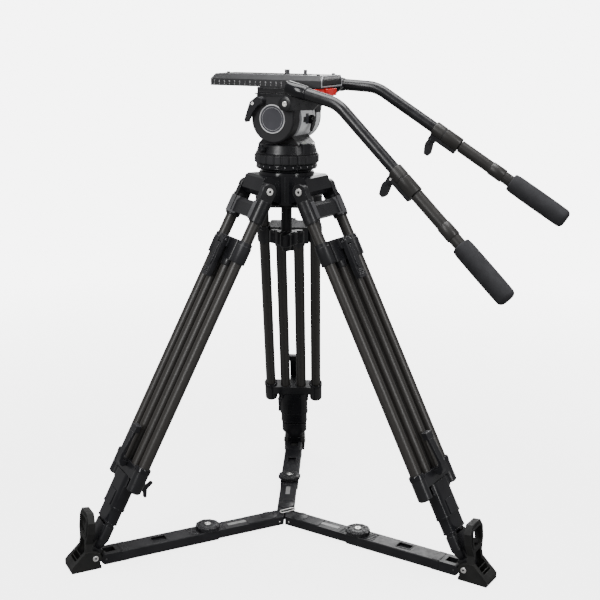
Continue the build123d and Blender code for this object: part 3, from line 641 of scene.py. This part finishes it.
def clamp_details(name):
    """The stepped glossy sleeves of the lower clamp, and the block on its face."""
    leg, body = LEG[name], f"{name}_middle"
    bands = Piece(f"{name}_clamp_bands", body, "gloss")
    flat = 2 * MIDDLE_Y
    for top, radius, tall in ((CLAMP_STEP, 14.9, 4), (CLAMP_END, 12.9, 3)):
        outline = arc(radius, 0, 180, 16, 0, MIDDLE_Y) + arc(radius, 180, 360, 16, 0, MIDDLE_Y - flat)
        bore = arc(radius - 2.6, 0, 180, 16, 0, MIDDLE_Y) + arc(radius - 2.6, 180, 360, 16, 0, -MIDDLE_Y)
        bands.prism(at(leg, 0, 0, -top), outline, 0, tall, hole=bore)
    bands.done(0.4)
    block = Piece(f"{name}_clamp_block", body, "plastic")
    block.prism(facing(at(leg, 12.5, 0, -652), "+x"), rounded_box(30, 26, 2.5), 0, 3.4)
    block.done(0.7)


def wing_details(name):
    """The wing screw's flared wing and its stem."""
    leg, body = LEG[name], f"{name}_wing"
    wing = Piece(f"{name}_wing", body, "plastic", "plastic")
    half = [(-3.2, 0), (-4.6, 5), (-9.5, 11), (-16.5, 14.5), (-17.5, 18.5), (-14.5, 20.5), (-6, 17)]
    outline = half + [(0, 14.5)] + [(-y, z) for y, z in reversed(half)]
    place = at(leg, -20, 31, -612)
    turned = basis(place.translation / MM, leg.col[2].xyz, leg.col[1].xyz)
    wing.prism(turned, [(y, -z) for y, z in outline], -3.2, 3.2)
    wing.lathe(facing(at(leg, -14, 31, -612), "-x"), [(0, 0), (6, 0), (6, 3), (4.6, 4), (4.6, 9), (0, 9)], 32)
    wing.done(0.9, replaces=[f"{name}_wing_knob"])


def foot_details(name):
    """Axle screws, the strap across the stirrup's hole, its rim, and treads on the toe."""
    base = radial(LEGS[name], AXLE_R)
    body = f"{name}_lower"
    sides = both_sides(base, 0, FOOT_OUT + 0.8, AXLE_Z)
    ring_screws(f"{name}_axle", body, sides, (2.2, 5.8, 5.8, 5.0), (-0.6, 0.8, 1.4), "steel", 0.5)
    lean = radians(6)
    outward = base.col[0].xyz * cos(lean) + base.col[2].xyz * sin(lean)
    stirrup = basis(at(base, 6, 0, 24).translation / MM, base.col[1].xyz, outward)
    strap = Piece(f"{name}_stirrup_strap", body, "rubber", "rubber")
    strap.prism(stirrup, [(-19, 64), (19, 50), (19, 41), (-19, 55)], 3, 11)
    strap.prism(at(stirrup, 0, 62, 0), rounded_box(46, 43, 10), 13.5, 15.6, hole=rounded_box(37, 35, 8))
    for k in range(3):
        strap.block(at(base, 26 + 7.5 * k, 0, 29 - 7.2 * k), 1.8, 2 * FOOT_OUT + 1.2, 1.6)
    strap.done(0.7)


# ---- ground spreader ----


def spreader_knob(name):
    """The scalloped lock knob with its bright centre, and the grip lines on both sides of it."""
    knob_at = at(ARM[name], KNOB_R, 0, ARM_TOP)
    body = f"{name}_arm_outer"
    cap = Piece(f"{name}_lock_knob", body, "lit_edge_plastic", "plastic")
    cap.prism(knob_at, scalloped(24.8, 2.4, 10, 8), 1.6, 8.2)
    top = [(22.8, 0.4), (22.8, 8.0), (20.5, 9.6), (13.0, 9.6), (11.6, 8.0), (9.0, 8.0), (8.2, 9.8), (0, 9.8)]
    cap.lathe(knob_at, top, 64)
    for k in range(10):
        notch = knob_at @ Matrix.Rotation(radians(36 * k + 18), 4, "Z")
        cap.prism(at(notch, 17.5, 0, 0), rounded_box(6.5, 3.4, 1.3), 9.4, 10.8)
    cap.done(0.4)
    centre = Piece(f"{name}_knob_centre", body, "steel", "steel")
    centre.lathe(knob_at, [(6.4, 9.6), (6.4, 10.6), (5.6, 11.2), (2.4, 11.2), (2.2, 10.0), (0, 10.0)], 44)
    centre.done(0.2)
    ribs = Piece(f"{name}_grip_ribs", body, "lit_edge_plastic", "plastic")
    for k in range(5):
        rib_at = at(ARM[name], KNOB_R + 34, -13 + 6.5 * k, ARM_TOP - 0.3)
        ribs.prism(rib_at, rounded_box(17, 3.0, 1.0), 0, 1.3)
    ribs.done(0.3)
    inner = Piece(f"{name}_inner_grip_ribs", f"{name}_arm_inner", "lit_edge_plastic", "plastic")
    for k in range(5):
        inner.prism(at(ARM[name], 147, -12 + 6 * k, INNER_TOP - 0.3), rounded_box(14, 2.8, 1.0), 0, 1.2)
    inner.done(0.3)


def window_frame(name):
    """A raised lip round the sleeve's window, and the end stop that shows in it."""
    lip = Piece(f"{name}_window_lip", f"{name}_arm_outer", "plastic", "plastic")
    window = at(ARM[name], 282, 0, ARM_TOP - 0.2)
    lip.prism(window, rounded_box(33, 22, 2.4), 0, 0.9, hole=rounded_box(29, 18, 0.6))
    lip.done(0.25)
    stop = Piece(f"{name}_end_collar", f"{name}_arm_outer", "plastic", "plastic")
    collar = facing(at(ARM[name], 350, 0, ARM_Z), "+x")
    outer = rounded_box(2 * ARM_HALF_T + 1.4, 2 * ARM_HALF_W + 1.4, 2.5)
    stop.prism(collar, outer, 0, 14.5, hole=rounded_box(2 * ARM_HALF_T - 1.5, 2 * ARM_HALF_W - 1.5, 0.6))
    stop.done(0.4)


def clevis_details(name):
    """The rivets of the arm's hinge at the foot."""
    rivets = Piece(f"{name}_clevis_rivets", f"{name}_arm_end", "dark_steel", "steel")
    for place in both_sides(ARM[name], ARM_HINGE_R, ARM_HALF_W, ARM_Z):
        rivets.lathe(place, [(2.0, -0.4), (2.0, 0.3), (1.4, 0.8), (0, 0.9)], 28)
    rivets.done(0.1)


def hub_details(name):
    """The round boss at an arm's hub end, the label plate and the seam's rivets."""
    body, arm = f"{name}_arm_inner", ARM[name]
    boss = Piece(f"{name}_hub_boss", body, "plastic", "plastic")
    boss.lathe(at(arm, 38, 0, INNER_TOP), [(0, -0.6), (17.4, -0.6), (17.4, 1.2), (16.0, 2.2), (0, 2.4)], 56)
    boss.prism(at(arm, 62, 0, INNER_TOP - 0.5), rounded_box(58, 33, 3), 0, 1.5)
    boss.done(0.4)
    label = Piece(f"{name}_label", body, "label", "steel")
    label.prism(at(arm, 108, 0, INNER_TOP), rounded_box(48, 9, 1.2), -0.2, 0.45)
    label.done(0.1)
    rivets = Piece(f"{name}_seam_rivets", body, "steel", "steel")
    for place in both_sides(arm, 21, ARM_HALF_W - 1.9, ARM_Z - 1):
        rivets.lathe(place, [(1.9, -0.4), (1.9, 0.3), (1.2, 0.9), (0, 1.0)], 24)
    rivets.done(0.1)


def hub_link():
    """The bright wire link that lies over the hub."""
    link = Piece("hub_link", "left_arm_inner", "steel", "steel")
    place = radial(35, 6, INNER_TOP + 3.2)
    path = [Vector((x, y, 0)) for x, y in rounded_box(34, 11, 5, 6)]
    wire, steps = 1.15, 10
    points, faces = [], []
    for k, point in enumerate(path):
        tangent = (path[(k + 1) % len(path)] - path[k - 1]).normalized()
        outward = tangent.cross(Vector((0, 0, 1)))
        for j in range(steps):
            turn = 2 * pi * j / steps
            points.append(point + outward * wire * cos(turn) + Vector((0, 0, wire * sin(turn))))
    total = len(points)
    for k in range(len(path)):
        for j in range(steps):
            near, far = k * steps, ((k + 1) * steps) % total
            faces.append((near + j, near + (j + 1) % steps, far + (j + 1) % steps, far + j))
    link.add(place, points, faces)
    link.done(0)


# ---- head ----


def drag_ring():
    """The ribbed drag ring, with index ticks on the flange under it."""
    ring = Piece("ribbed_drag_ring", "drag_ring", "cover", "plastic")
    middle = radial(HEAD_REAR, 0, RING_Z0)
    tall, count, steps = RING_Z1 - RING_Z0, 24, 8
    for low, high, scale in ((-0.4, 1.4, 0.97), (1.4, tall - 1.4, 1.0), (tall - 1.4, tall + 0.6, 0.97)):
        outline = [(x * scale, y * scale) for x, y in scalloped(RING_R + 0.8, 2.6, count, steps, 0.34)]
        hole = [(45.3 * cos(2 * pi * k / len(outline)), 45.3 * sin(2 * pi * k / len(outline)))
                for k in range(len(outline))]
        ring.prism(middle, outline, low, high, hole=hole)
    ring.done(0.25, replaces=["drag_ring"])
    ticks = Piece("flange_ticks", "ball", "ink", "steel")
    for k in range(24):
        ticks.block(facing(radial(15 * k, 58.1, BOWL_Z + 12), "+x"), 2.6, 0.7, 0.5)
    ticks.done(0)


def flange_rings():
    """A turned bead on the bowl flange, which catches the light."""
    bands = Piece("flange_bead", "ball", "gloss")
    place = radial(0, 0, BOWL_Z)
    bands.ring(place, [(54, 7.6), (58.6, 7.8), (59.2, 8.8), (58.6, 9.8), (54, 10)], 96)
    neck = [(43.0, 0.8), (47.0, 0.9), (48.4, 2.0), (48.4, 3.6), (45, 5.2), (43.0, 5.2)]
    bands.ring(place, neck, 80)
    bands.done(0.2)


def base_details():
    """The pan base's bands and the bubble level on its rim."""
    band = Piece("base_band", "pan", "gloss")
    place = radial(0, 0, BASE_TOP)
    band.ring(place, [(48, -2.2), (53.4, -2.4), (53.6, -1.0), (52.0, 0.8), (48, 0.9)], 96)
    band.ring(place, [(52, -18.6), (59.2, -18.4), (59.0, -16.6), (52, -16.4)], 96)
    band.done(0.3)
    spot = radial(-47, 50, BASE_TOP - 18.5)
    house = Piece("level_housing", "pan", "lit_edge_plastic")
    house.prism(at(spot, 1, 0, 0), rounded_box(18, 19, 2), 0, 20.5)
    house.done(0.7)
    rim = Piece("level_rim", "pan", "aluminium", "steel")
    rim.ring(at(spot, 1, 0, 20.5), [(5.4, -0.5), (7.0, -0.5), (7.0, 1.0), (5.4, 1.2)], 44)
    rim.done(0.2)
    vial = Piece("level_vial", "pan", "vial", "plastic")
    vial.lathe(at(spot, 1, 0, 20.5), [(0, -0.4), (5.4, -0.4), (5.4, 0.4), (3.2, 1.0), (0, 1.2)], 40)
    vial.done(0)


def badge(hand, way, name):
    """A blank grey badge with a bright ring, at the tilt axis."""
    place = facing(at(HEAD, 0, hand * CASING_OUT, TILT_Z), way)
    disc = Piece(f"{name}_badge", "tilt", "badge", "plastic")
    disc.lathe(place, [(0, -0.5), (24.6, -0.5), (24.6, 0.7), (0, 0.7)], 72)
    disc.done(0)
    ring = Piece(f"{name}_badge_ring", "tilt", "ink", "steel")
    rim = [(24.4, -0.5), (26.4, -0.5), (26.4, 0.9), (25.8, 1.4), (24.9, 1.4), (24.4, 0.8)]
    ring.ring(place, rim, 80)
    ring.ring(place, [(20.6, 0.5), (21.0, 0.5), (21.0, 0.85), (20.6, 0.85)], 80)
    ring.done(0)


def casing_seams():
    """Raised rims that frame the flat faces of the side covers, and the joint under the carrier."""
    for hand in (-1, 1):
        rim = Piece(f"{'near' if hand < 0 else 'far'}_casing_lip", "tilt", "casting")
        place = at(HEAD, 7, hand * (CASING_OUT - 6), CARRIER_Z0 - 5.5)
        rim.prism(place, rounded_box(80, 13.5, 2.5), 0, 5.5)
        rim.prism(at(place, 1, 0, 1.5), rounded_box(90, 14.5, 2.5), 2, 4)
        rim.done(0.5)


def rear_cover():
    """The bright cover on the rear of the middle block, with its rings, dial, window and glass, and painted
    shade in the grooves between the rings.
    """
    axis = facing(at(HEAD, 0, 0, TILT_Z), "-y", 0)
    cover = Piece("rear_cover", "pan", "silver", "steel")
    cover.prism(axis, arc(BLOCK_R + 1.6, -58, 56, 24) + arc(BLOCK_R - 2.0, 56, -58, 24), -34, 24)
    cover.done(0.8)
    rings = Piece("rear_cover_rings", "pan", "aluminium", "steel")
    for low, high, radius in ((24.8, 27.2, 43.9), (28.2, 30.0, 43.2), (31.2, 33.2, 42.8), (-26, -22, 43.6)):
        rings.prism(axis, arc(radius, -86, 64, 36) + arc(40.0, 64, -86, 36), low, high)
    rings.done(0.25)
    # Near-black bands at the bottoms of the grooves between the rings: painted shade.
    dark = Piece("rear_cover_groove_shade", "pan", "black_and_shade")
    for low, high in ((27.2, 28.2), (30.0, 31.2), (33.2, 34.4)):
        dark.prism(axis, arc(42.3, -86, 64, 36) + arc(40.0, 64, -86, 36), low, high)
    dark.done(0)
    band = Piece("far_casing_band", "tilt", "silver", "steel")
    band.prism(axis, arc(44.8, -58, 40, 24) + arc(42.5, 40, -58, 24), -52, -37)
    band.done(0.3)
    window = Piece("level_window", "pan", "plastic", "plastic")
    window.prism(facing(at(HEAD, BLOCK_R + 0.6, -13, TILT_Z - 2), "+x"), rounded_box(10, 9, 1.5), 0, 2.6)
    window.done(0.4)
    glass = Piece("level_glass", "pan", "badge", "plastic")
    glass.prism(facing(at(HEAD, BLOCK_R + 0.6, -2.5, TILT_Z - 1), "+x"), rounded_box(19, 9, 1.5), 0, 2.4)
    glass.done(0.3)
    dial = Piece("counterbalance_dial", "pan", "gloss", "plastic")
    spot = facing(at(HEAD, BLOCK_R + 0.4, 11, TILT_Z - 3), "+x")
    dial.prism(spot, scalloped(8.2, 0.9, 9, 8), 0, 8.5)
    dial.lathe(spot, [(7.2, 8.0), (7.0, 9.4), (5.6, 10.2), (0, 10.2)], 40)
    arm = spot @ Matrix.Rotation(radians(-32), 4, "Z")
    dial.prism(arm, [(-3, -5), (5, -5), (17, -4), (24, -2.5), (24, 2.5), (16, 4), (5, 5), (-3, 5)], 7.5, 11.5)
    dial.done(0.6)


def brake_lever():
    """The tilt brake: a stepped boss with a paddle that points down and forward, and its screw."""
    side = facing(at(HEAD, BRAKE_X, -CASING_OUT - 0.4, BRAKE_Z), "-y")
    lever = Piece("tilt_brake_lever", "tilt_lock", "plastic", "plastic")
    lever.lathe(side, [(0, 0), (8.6, 0), (8.6, 2.5), (7.4, 3.4), (7.4, 9.5), (6.4, 10.4), (0, 10.4)], 44)
    paddle = [(2.5, 6.5), (-6, 8.5), (-19, -1), (-22.5, -10), (-31, -34)]
    paddle += [(-28.5, -39), (-22.5, -38), (-13, -20), (-3, -8), (5, -4)]
    lever.prism(side, paddle, 4.5, 11.5)
    lever.done(1.2, replaces=["tilt_brake"])
    screw = Piece("tilt_brake_screw", "tilt_lock", "steel", "steel")
    socket_screw(screw, at(side, -13.5, -4.5, 11.3), 3.2, 1.4)
    screw.done(0.15)


def pan_lock_lever():
    """The pan brake's little lever on the round base."""
    spot = facing(radial(225, BASE_FOOT_R + 0.4, 784), "+x")
    lever = Piece("pan_brake_lever", "pan_lock", "plastic", "plastic")
    lever.lathe(spot, [(0, 0), (5.6, 0), (5.6, 7.5), (4.6, 8.6), (0, 8.6)], 36)
    lever.prism(spot, [(-8, -5.5), (-9.5, 1), (-7, 5), (3, 5), (4.5, 0), (2, -4.5)], 2.8, 8.8)
    lever.done(0.7, replaces=["pan_brake"])


# ---- camera plate ----


def stroke_digit(piece, place, digit, tall):
    """A generic seven-stroke numeral, centred on the frame."""
    wide, thick = tall * 0.5, tall * 0.11
    strokes = {
        "a": (0, tall / 2, wide, thick), "d": (0, -tall / 2, wide, thick), "g": (0, 0, wide, thick),
        "f": (-wide / 2, tall / 4, thick, tall / 2), "b": (wide / 2, tall / 4, thick, tall / 2),
        "e": (-wide / 2, -tall / 4, thick, tall / 2), "c": (wide / 2, -tall / 4, thick, tall / 2),
    }
    shapes = ("abcdef", "bc", "abged", "abgcd", "fgbc", "afgcd", "afgedc", "abc", "abcdefg", "abcdfg")
    for key in shapes[digit]:
        x, y, across, high = strokes[key]
        piece.block(at(place, x, y, 0), across + thick * 0.5, high + thick * 0.5, 0.35)


def plate_scale():
    """White ticks and numbers along both sides of the plate, and the carrier's index marks."""
    for hand, way, name in ((-1, "-y", "near"), (1, "+y", "far")):
        scale = Piece(f"{name}_plate_scale", "plate", "ink", "steel")
        for k in range(15):
            x = PLATE_FRONT + 8 + 11 * k
            face_at = facing(at(HEAD, x, hand * PLATE_HALF, 0), way)
            upright = face_at if hand < 0 else face_at @ Matrix.Rotation(pi, 4, "Z")
            scale.block(at(upright, 0, PLATE_Z0 + 3.2, -0.1), 0.6, 3.0, 0.35)
            stroke_digit(scale, at(upright, 0, PLATE_Z0 + 8.0, -0.1), abs(7 - k), 3.1)
        scale.done(0)
    index = Piece("carrier_index", "tilt", "ink", "steel")
    for hand, way in SIDES:
        mark = facing(at(HEAD, 24, hand * CARRIER_HALF, 0), way)
        up = 1 if hand < 0 else -1
        index.prism(mark, [(-2.6, up * 891.5), (2.6, up * 891.5), (0, up * 895.6)], -0.1, 0.4)
    index.done(0)


def plate_pad():
    """The ribbed rubber inlay in the plate's recess, with room round the camera screws."""
    pad = Piece("plate_pad", "plate", "pad", "rubber")
    for x, length in ((-61, 74), (19, 20), (47.5, 5)):
        pad.prism(at(HEAD, x, 0, REST), rounded_box(length, 50, 2), 0, 0.7)
    for k in range(34):
        x = -96.5 + 2.1 * k
        pad.block(at(HEAD, x, 0, REST + 0.6), 1.1, 47, 0.5)
    for side in (-1, 1):
        pad.prism(at(HEAD, -7, side * 18.5, REST), rounded_box(32, 12, 1.5), 0, 0.7)
        pad.prism(at(HEAD, 38, side * 18.5, REST), rounded_box(14, 12, 1.5), 0, 0.7)
    pad.done(0.15)


def plate_ends():
    """The bright outline of the plate's rear end, the safety stops and the rim of the recess."""
    half, top = PLATE_HALF, PLATE_Z1 - PLATE_Z0
    section = [(-half, 1), (half, 1), (half, top - BEVEL_DOWN), (half - BEVEL_IN, top - 0.3)]
    section += [(BEVEL_IN - half, top - 0.3), (-half, top - BEVEL_DOWN)]
    inner = [(y * 0.93, 10.5 + (z - 10.5) * 0.74) for y, z in section]
    rear = facing(at(HEAD, PLATE_REAR - 1.5, 0, PLATE_Z0), "+x", 90)
    end = Piece("plate_rear_rim", "plate", "aluminium", "plate_grey")
    end.prism(rear, section, 0, 2.4, hole=inner)
    end.done(0.4)
    stops = Piece("plate_stops", "plate", "black_and_shade", "plastic")
    for x, y in ((PLATE_REAR - 12, -33), (PLATE_REAR - 12, 33), (PLATE_FRONT + 13, 0)):
        stops.lathe(at(HEAD, x, y, PLATE_Z1), [(3.2, -1.5), (3.2, 1.6), (2.4, 2.4), (0, 2.4)], 32)
    stops.done(0.2)
    slot_rim = Piece("plate_recess_rim", "plate", "aluminium", "plate_grey")
    outline, hole = rounded_box(151.6, 53.6, 4.8, 6), rounded_box(150, 52, 4, 6)
    slot_rim.prism(at(HEAD, -24, 0, PLATE_Z1), outline, -0.2, 0.15, hole=hole)
    slot_rim.done(0)


def camera_screw_threads():
    """Threads on the free ends of the two camera screws."""
    for x, radius, pitch, name in ((0, 4.76, 1.6, "large"), (38, 3.175, 1.3, "small")):
        screw = Piece(f"{name}_screw_thread", "plate", "dark_steel", "steel")
        profile, height = [(radius - 0.5, 0.2)], 0.5
        while height + pitch < 9.6:
            profile += [(radius + 0.05, height + pitch * 0.35), (radius - 0.45, height + pitch * 0.8)]
            height += pitch
        screw.lathe(at(HEAD, x, 0, REST), profile + [(radius - 0.7, 10.05), (0, 10.05), (0, 0.2)], 36)
        screw.done(0)


def carrier_details():
    """The release's red tongue under the plate, the safety catch, and the lips round the carrier."""
    tongue = Piece("release_tongue", "release", "red_lever", "red_lever")
    inner = [(78, 20), (84, 21), (86, 6), (97, -25), (96, -32), (90, -31), (79, -6), (74, 8)]
    tongue.prism(HEAD, inner, CARRIER_Z0 + 3, 896.6)
    outline = [(70, -46), (84, -46), (99, -20), (99, 8), (91, 12), (84, -4), (74, -30)]
    tongue.prism(HEAD, outline, 884, 896.4)
    tongue.done(1.0)
    catch = Piece("safety_catch", "tilt", "aluminium", "steel")
    catch_at = facing(at(HEAD, 66, -30, CARRIER_Z0 + 3), "+x")
    catch.lathe(catch_at, [(0, 0), (5.2, 0), (5.2, 3), (3.6, 5), (0, 5.4)], 32)
    catch.done(0.3)
    grooves = Piece("carrier_lips", "tilt", "casting")
    outline, hole = rounded_box(105.2, 109.2, 6.6, 6), rounded_box(103, 107, 5.6, 6)
    for low in (0.8, 7.4):
        grooves.prism(at(HEAD, 15, 0, CARRIER_Z0), outline, low, low + 1.6, hole=hole)
    grooves.done(0.3)


# ---- pan bars ----


def bar_details(name):
    """The collars, split clamp, wing screw and end socket of one pan bar."""
    first, second = bar_frames(name)
    hand = -1 if name == "left" else 1
    way = "-y" if hand < 0 else "+y"
    body = f"{name}_bar"
    screw = Piece(f"{name}_rosette_screw", body, "steel", "steel")
    rosette = facing(at(HEAD, ROSETTE_X, hand * BRACKET_OUT, ROSETTE_Z), way)
    socket_screw(screw, rosette, 5.0, 2.2, 0.4)
    screw.done(0.2)
    socket = Piece(f"{name}_bar_socket", body, "gloss", "rod")
    start = facing(at(first, 4, 0, BAR_LIFT), "+x")
    rings = [(10.6, 0), (12.6, 0.6), (13.0, 2), (13.0, 38)]
    rings += [(12.4, 39), (12.4, 41.5), (11.6, 42.6), (10.6, 42.6)]
    socket.ring(start, rings, 56)
    socket.lathe(start, [(0, -1.4), (7.5, -1.2), (10.2, -0.2), (10.8, 1.5), (0, 1.5)], 48)
    socket.done(0.4)
    mount = Piece(f"{name}_bar_mount", body, "casting")
    mount.ring(rosette, [(5.2, -0.6), (13.6, -0.6), (13.6, 0.4), (12.8, 0.9), (5.2, 0.9)], 52)
    if name == "left":
        wedge = [(0, 13.4), (28, 15), (66, 8), (66, 1), (56, -9), (12, -11.5), (0, -13.4)]
        mount.prism(basis(rosette.translation / MM, HEAD.col[0].xyz, rosette.col[2].xyz), wedge, -8.5, -0.6)
    mount.done(0.5)
    end = BAR_RUN2[name]
    clamp = Piece(f"{name}_bar_clamp", body, "rod", "rod")
    length = facing(at(second, end - 1, 0, 0), "+x")
    near = [(11.0, -2), (13.4, -1), (13.7, 0.5), (13.7, 19.4), (13.1, 20), (13.1, 21.2), (11.0, 21.2)]
    far = [(9.2, 22.4), (13.1, 22.4), (13.7, 23), (13.7, 55), (12.9, 56.6), (9.2, 56.6)]
    for profile in (near, far):
        clamp.ring(length, profile, 56)
    clamp.done(0.3)
    post = Piece(f"{name}_clamp_screw", body, "plastic", "plastic")
    down = facing(at(second, end + 6, 0, -18.6), "-z")
    post.lathe(down, [(0, 0), (8.0, 0), (8.0, 4.5), (6.8, 5.5), (6.8, 12), (0, 12)], 36)
    wing = [(-6.5, 8), (6.5, 8), (9, 14), (12.5, 25), (10.5, 32), (2, 32), (-3, 23), (-6.5, 15)]
    turned = facing(at(second, end + 6, 0, -18.6), "-y")
    post.prism(turned, [(x, -z) for x, z in wing], -6.0, 6.0)
    post.done(0.9)
    pins = Piece(f"{name}_clamp_pins", body, "steel", "steel")
    pin_at = at(second, end + 6, hand * 6.6, -14.6)
    socket_screw(pins, facing(pin_at, way), 2.4, 1.0)
    pins.done(0.15)


def rod_details(name):
    """The sliding rod's sleeve, and its end collar with bright key strips."""
    second = bar_frames(name)[1]
    body = f"{name}_rod"
    collar = Piece(f"{name}_rod_collar", body, "rod", "rod")
    end = BAR_RUN2[name]
    start = facing(at(second, end + 128, 0, 0), "+x")
    profile = [(8.4, -0.6), (12.0, -0.4), (12.8, 0.8), (12.8, 27), (12.0, 28.2), (8.4, 28.2)]
    collar.ring(start, profile, 48)
    collar.done(0.3)
    rod = Piece(f"{name}_rod_tube", body, "rod", "rod")
    tube = facing(at(second, end + 56, 0, 0), "+x")
    rod.ring(tube, [(8.5, 2), (11.5, 2), (11.5, 73), (8.5, 73)], 56)
    strips = Piece(f"{name}_key_strips", body, "aluminium", "steel")
    for turn in (35, 95):
        strip = at(start @ Matrix.Rotation(radians(turn), 4, "Z"), 12.4, 0, 2)
        strips.block(strip, 1.2, 1.6, 24)
    strips.done(0.2)
    rod.done(0.2)


def bar_grip(name):
    """A soft foam grip: slightly crowned, with a rounded nose and a rolled cuff."""
    second = bar_frames(name)[1]
    grip = Piece(f"{name}_grip", f"{name}_rod", "foam", "foam")
    start = facing(at(second, BAR_RUN2[name] + GRIP_START, 0, 0), "+x")
    profile = [(0, 0.4), (10.6, 0.0)] + [(13.6 + x, 3.4 + y) for x, y in arc(3.4, -90, 0, 5)]
    crown = 0.5
    for k in range(1, 16):
        share = k / 16
        profile.append((GRIP_R - crown + crown * sin(pi * share) ** 0.5, 4 + (GRIP_LENGTH - 15) * share))
    nose = 9.5
    profile += [(GRIP_R - crown - nose + x, GRIP_LENGTH - nose + y) for x, y in arc(nose, 0, 82, 9)]
    profile += [(3.5, GRIP_LENGTH - 0.1), (0, GRIP_LENGTH)]
    grip.lathe(start, profile, 72)
    made = grip.done(0, replaces=[f"{name}_bar_grip"])


# ---- camera, floor and light ----


def look_from(place, turn):
    """The camera at a place in millimetres, turned by its pitch down, roll and yaw in degrees."""
    pitch, roll, yaw = turn
    data = bpy.data.cameras.new("camera")
    data.lens, data.sensor_width = LENS, SENSOR
    data.shift_x, data.shift_y = SHIFT
    camera = bpy.data.objects.new("camera", data)
    bpy.context.scene.collection.objects.link(camera)
    camera.location = Vector(place) * MM
    camera.rotation_euler = (radians(90 - pitch), radians(roll), radians(yaw))
    bpy.context.scene.camera = camera


def soft_box(name, place, target, size, brightness):
    """A large rectangular area light, given by its brightness so that its size doesn't change it."""
    data = bpy.data.lights.new(name, "AREA")
    data.shape, data.size, data.size_y = "RECTANGLE", size[0], size[1]
    data.energy = brightness * pi * size[0] * size[1]
    lamp = bpy.data.objects.new(name, data)
    bpy.context.scene.collection.objects.link(lamp)
    lamp.location = place
    lamp.rotation_euler = (Vector(target) - Vector(place)).to_track_quat("-Z", "Y").to_euler()


def seen_or_lit(tree, seen, lit):
    """A value that is seen where the camera looks, and another that lights the object."""
    path = tree.nodes.new("ShaderNodeLightPath")
    mixed = tree.nodes.new("ShaderNodeMapRange")
    tree.links.new(path.outputs["Is Camera Ray"], mixed.inputs["Value"])
    mixed.inputs["To Min"].default_value = lit
    mixed.inputs["To Max"].default_value = seen
    return mixed.outputs["Result"]


def pale_floor():
    """A pale seamless floor: it takes soft shadows near the tripod and fades into the surroundings."""
    g = Graph("pale_floor")
    pale = g.blend(g.noise(3, 2), (0.80, 0.80, 0.80), (0.84, 0.84, 0.84))
    path = g.node("ShaderNodeLightPath")
    g.colour(g.blend(path.outputs["Is Camera Ray"], (0.16, 0.16, 0.16), pale))
    g.set(Roughness=0.8, Specular_IOR_Level=0.1)
    reach = g.node("ShaderNodeVectorMath", operation="LENGTH")
    g.link(g.place, reach.inputs[0])
    far = g.ramp(reach.outputs["Value"], FLOOR_GLOW, 1.0, 0.7, 2.4)
    glow = g.node("ShaderNodeEmission")
    g.link(seen_or_lit(g.tree, SURROUND_SEEN, SURROUND_LIT), glow.inputs["Strength"])
    mixed = g.node("ShaderNodeMixShader")
    g.link(far, mixed.inputs["Fac"])
    g.link(g.shader.outputs["BSDF"], mixed.inputs[1])
    g.link(glow.outputs["Emission"], mixed.inputs[2])
    g.link(mixed.outputs["Shader"], g.tree.nodes["Material Output"].inputs["Surface"])
    return g.material


def studio():
    """The floor, the white surroundings and the soft boxes."""
    half = FLOOR_HALF_M
    corners = [(-half, -half, 0), (half, -half, 0), (half, half, 0), (-half, half, 0)]
    mesh = bpy.data.meshes.new("floor")
    mesh.from_pydata(corners, [], [(0, 1, 2, 3)])
    mesh.materials.append(pale_floor())
    floor = bpy.data.objects.new("floor", mesh)
    bpy.context.scene.collection.objects.link(floor)
    floor.location.z = -REST * MM - FLOOR_GAP_M
    world = bpy.data.worlds.new("studio")
    bpy.context.scene.world = world
    world.use_nodes = True
    sky = world.node_tree.nodes["Background"]
    sky.inputs["Color"].default_value = (1, 1, 1, 1)
    strength = seen_or_lit(world.node_tree, SURROUND_SEEN, SURROUND_LIT)
    world.node_tree.links.new(strength, sky.inputs["Strength"])
    middle = (0, 0, -0.35)
    soft_box("key", (-1.5, -2.1, 1.1), middle, (0.6, 1.9), 16)
    soft_box("fill", (1.9, -1.8, 0.8), middle, (0.5, 1.8), 13)
    soft_box("top", (0, 0.1, 2.1), middle, (2.2, 1.6), 12)
    soft_box("back", (0.6, 2.6, 0.9), middle, (1.6, 1.6), 6)


dress_frame()
crown_details()
for leg_name in LEGS:
    yoke_details(leg_name)
    slider_details(leg_name)
    lever_details(leg_name, "upper", SLIDER_TOP + 10, f"{leg_name}_upper_lever")
    clamp_lever(leg_name)
    bridge_details(leg_name)
    clamp_details(leg_name)
    wing_details(leg_name)
    foot_details(leg_name)
    spreader_knob(leg_name)
    window_frame(leg_name)
    clevis_details(leg_name)
    hub_details(leg_name)
hub_link()
drag_ring()
flange_rings()
base_details()
badge(-1, "-y", "near")
badge(1, "+y", "far")
casing_seams()
rear_cover()
brake_lever()
pan_lock_lever()
plate_scale()
plate_pad()
plate_ends()
camera_screw_threads()
carrier_details()
for bar_name in BAR_PITCH:
    bar_details(bar_name)
    rod_details(bar_name)
    bar_grip(bar_name)
look_from(CAMERA_AT, CAMERA_TURN)
studio()
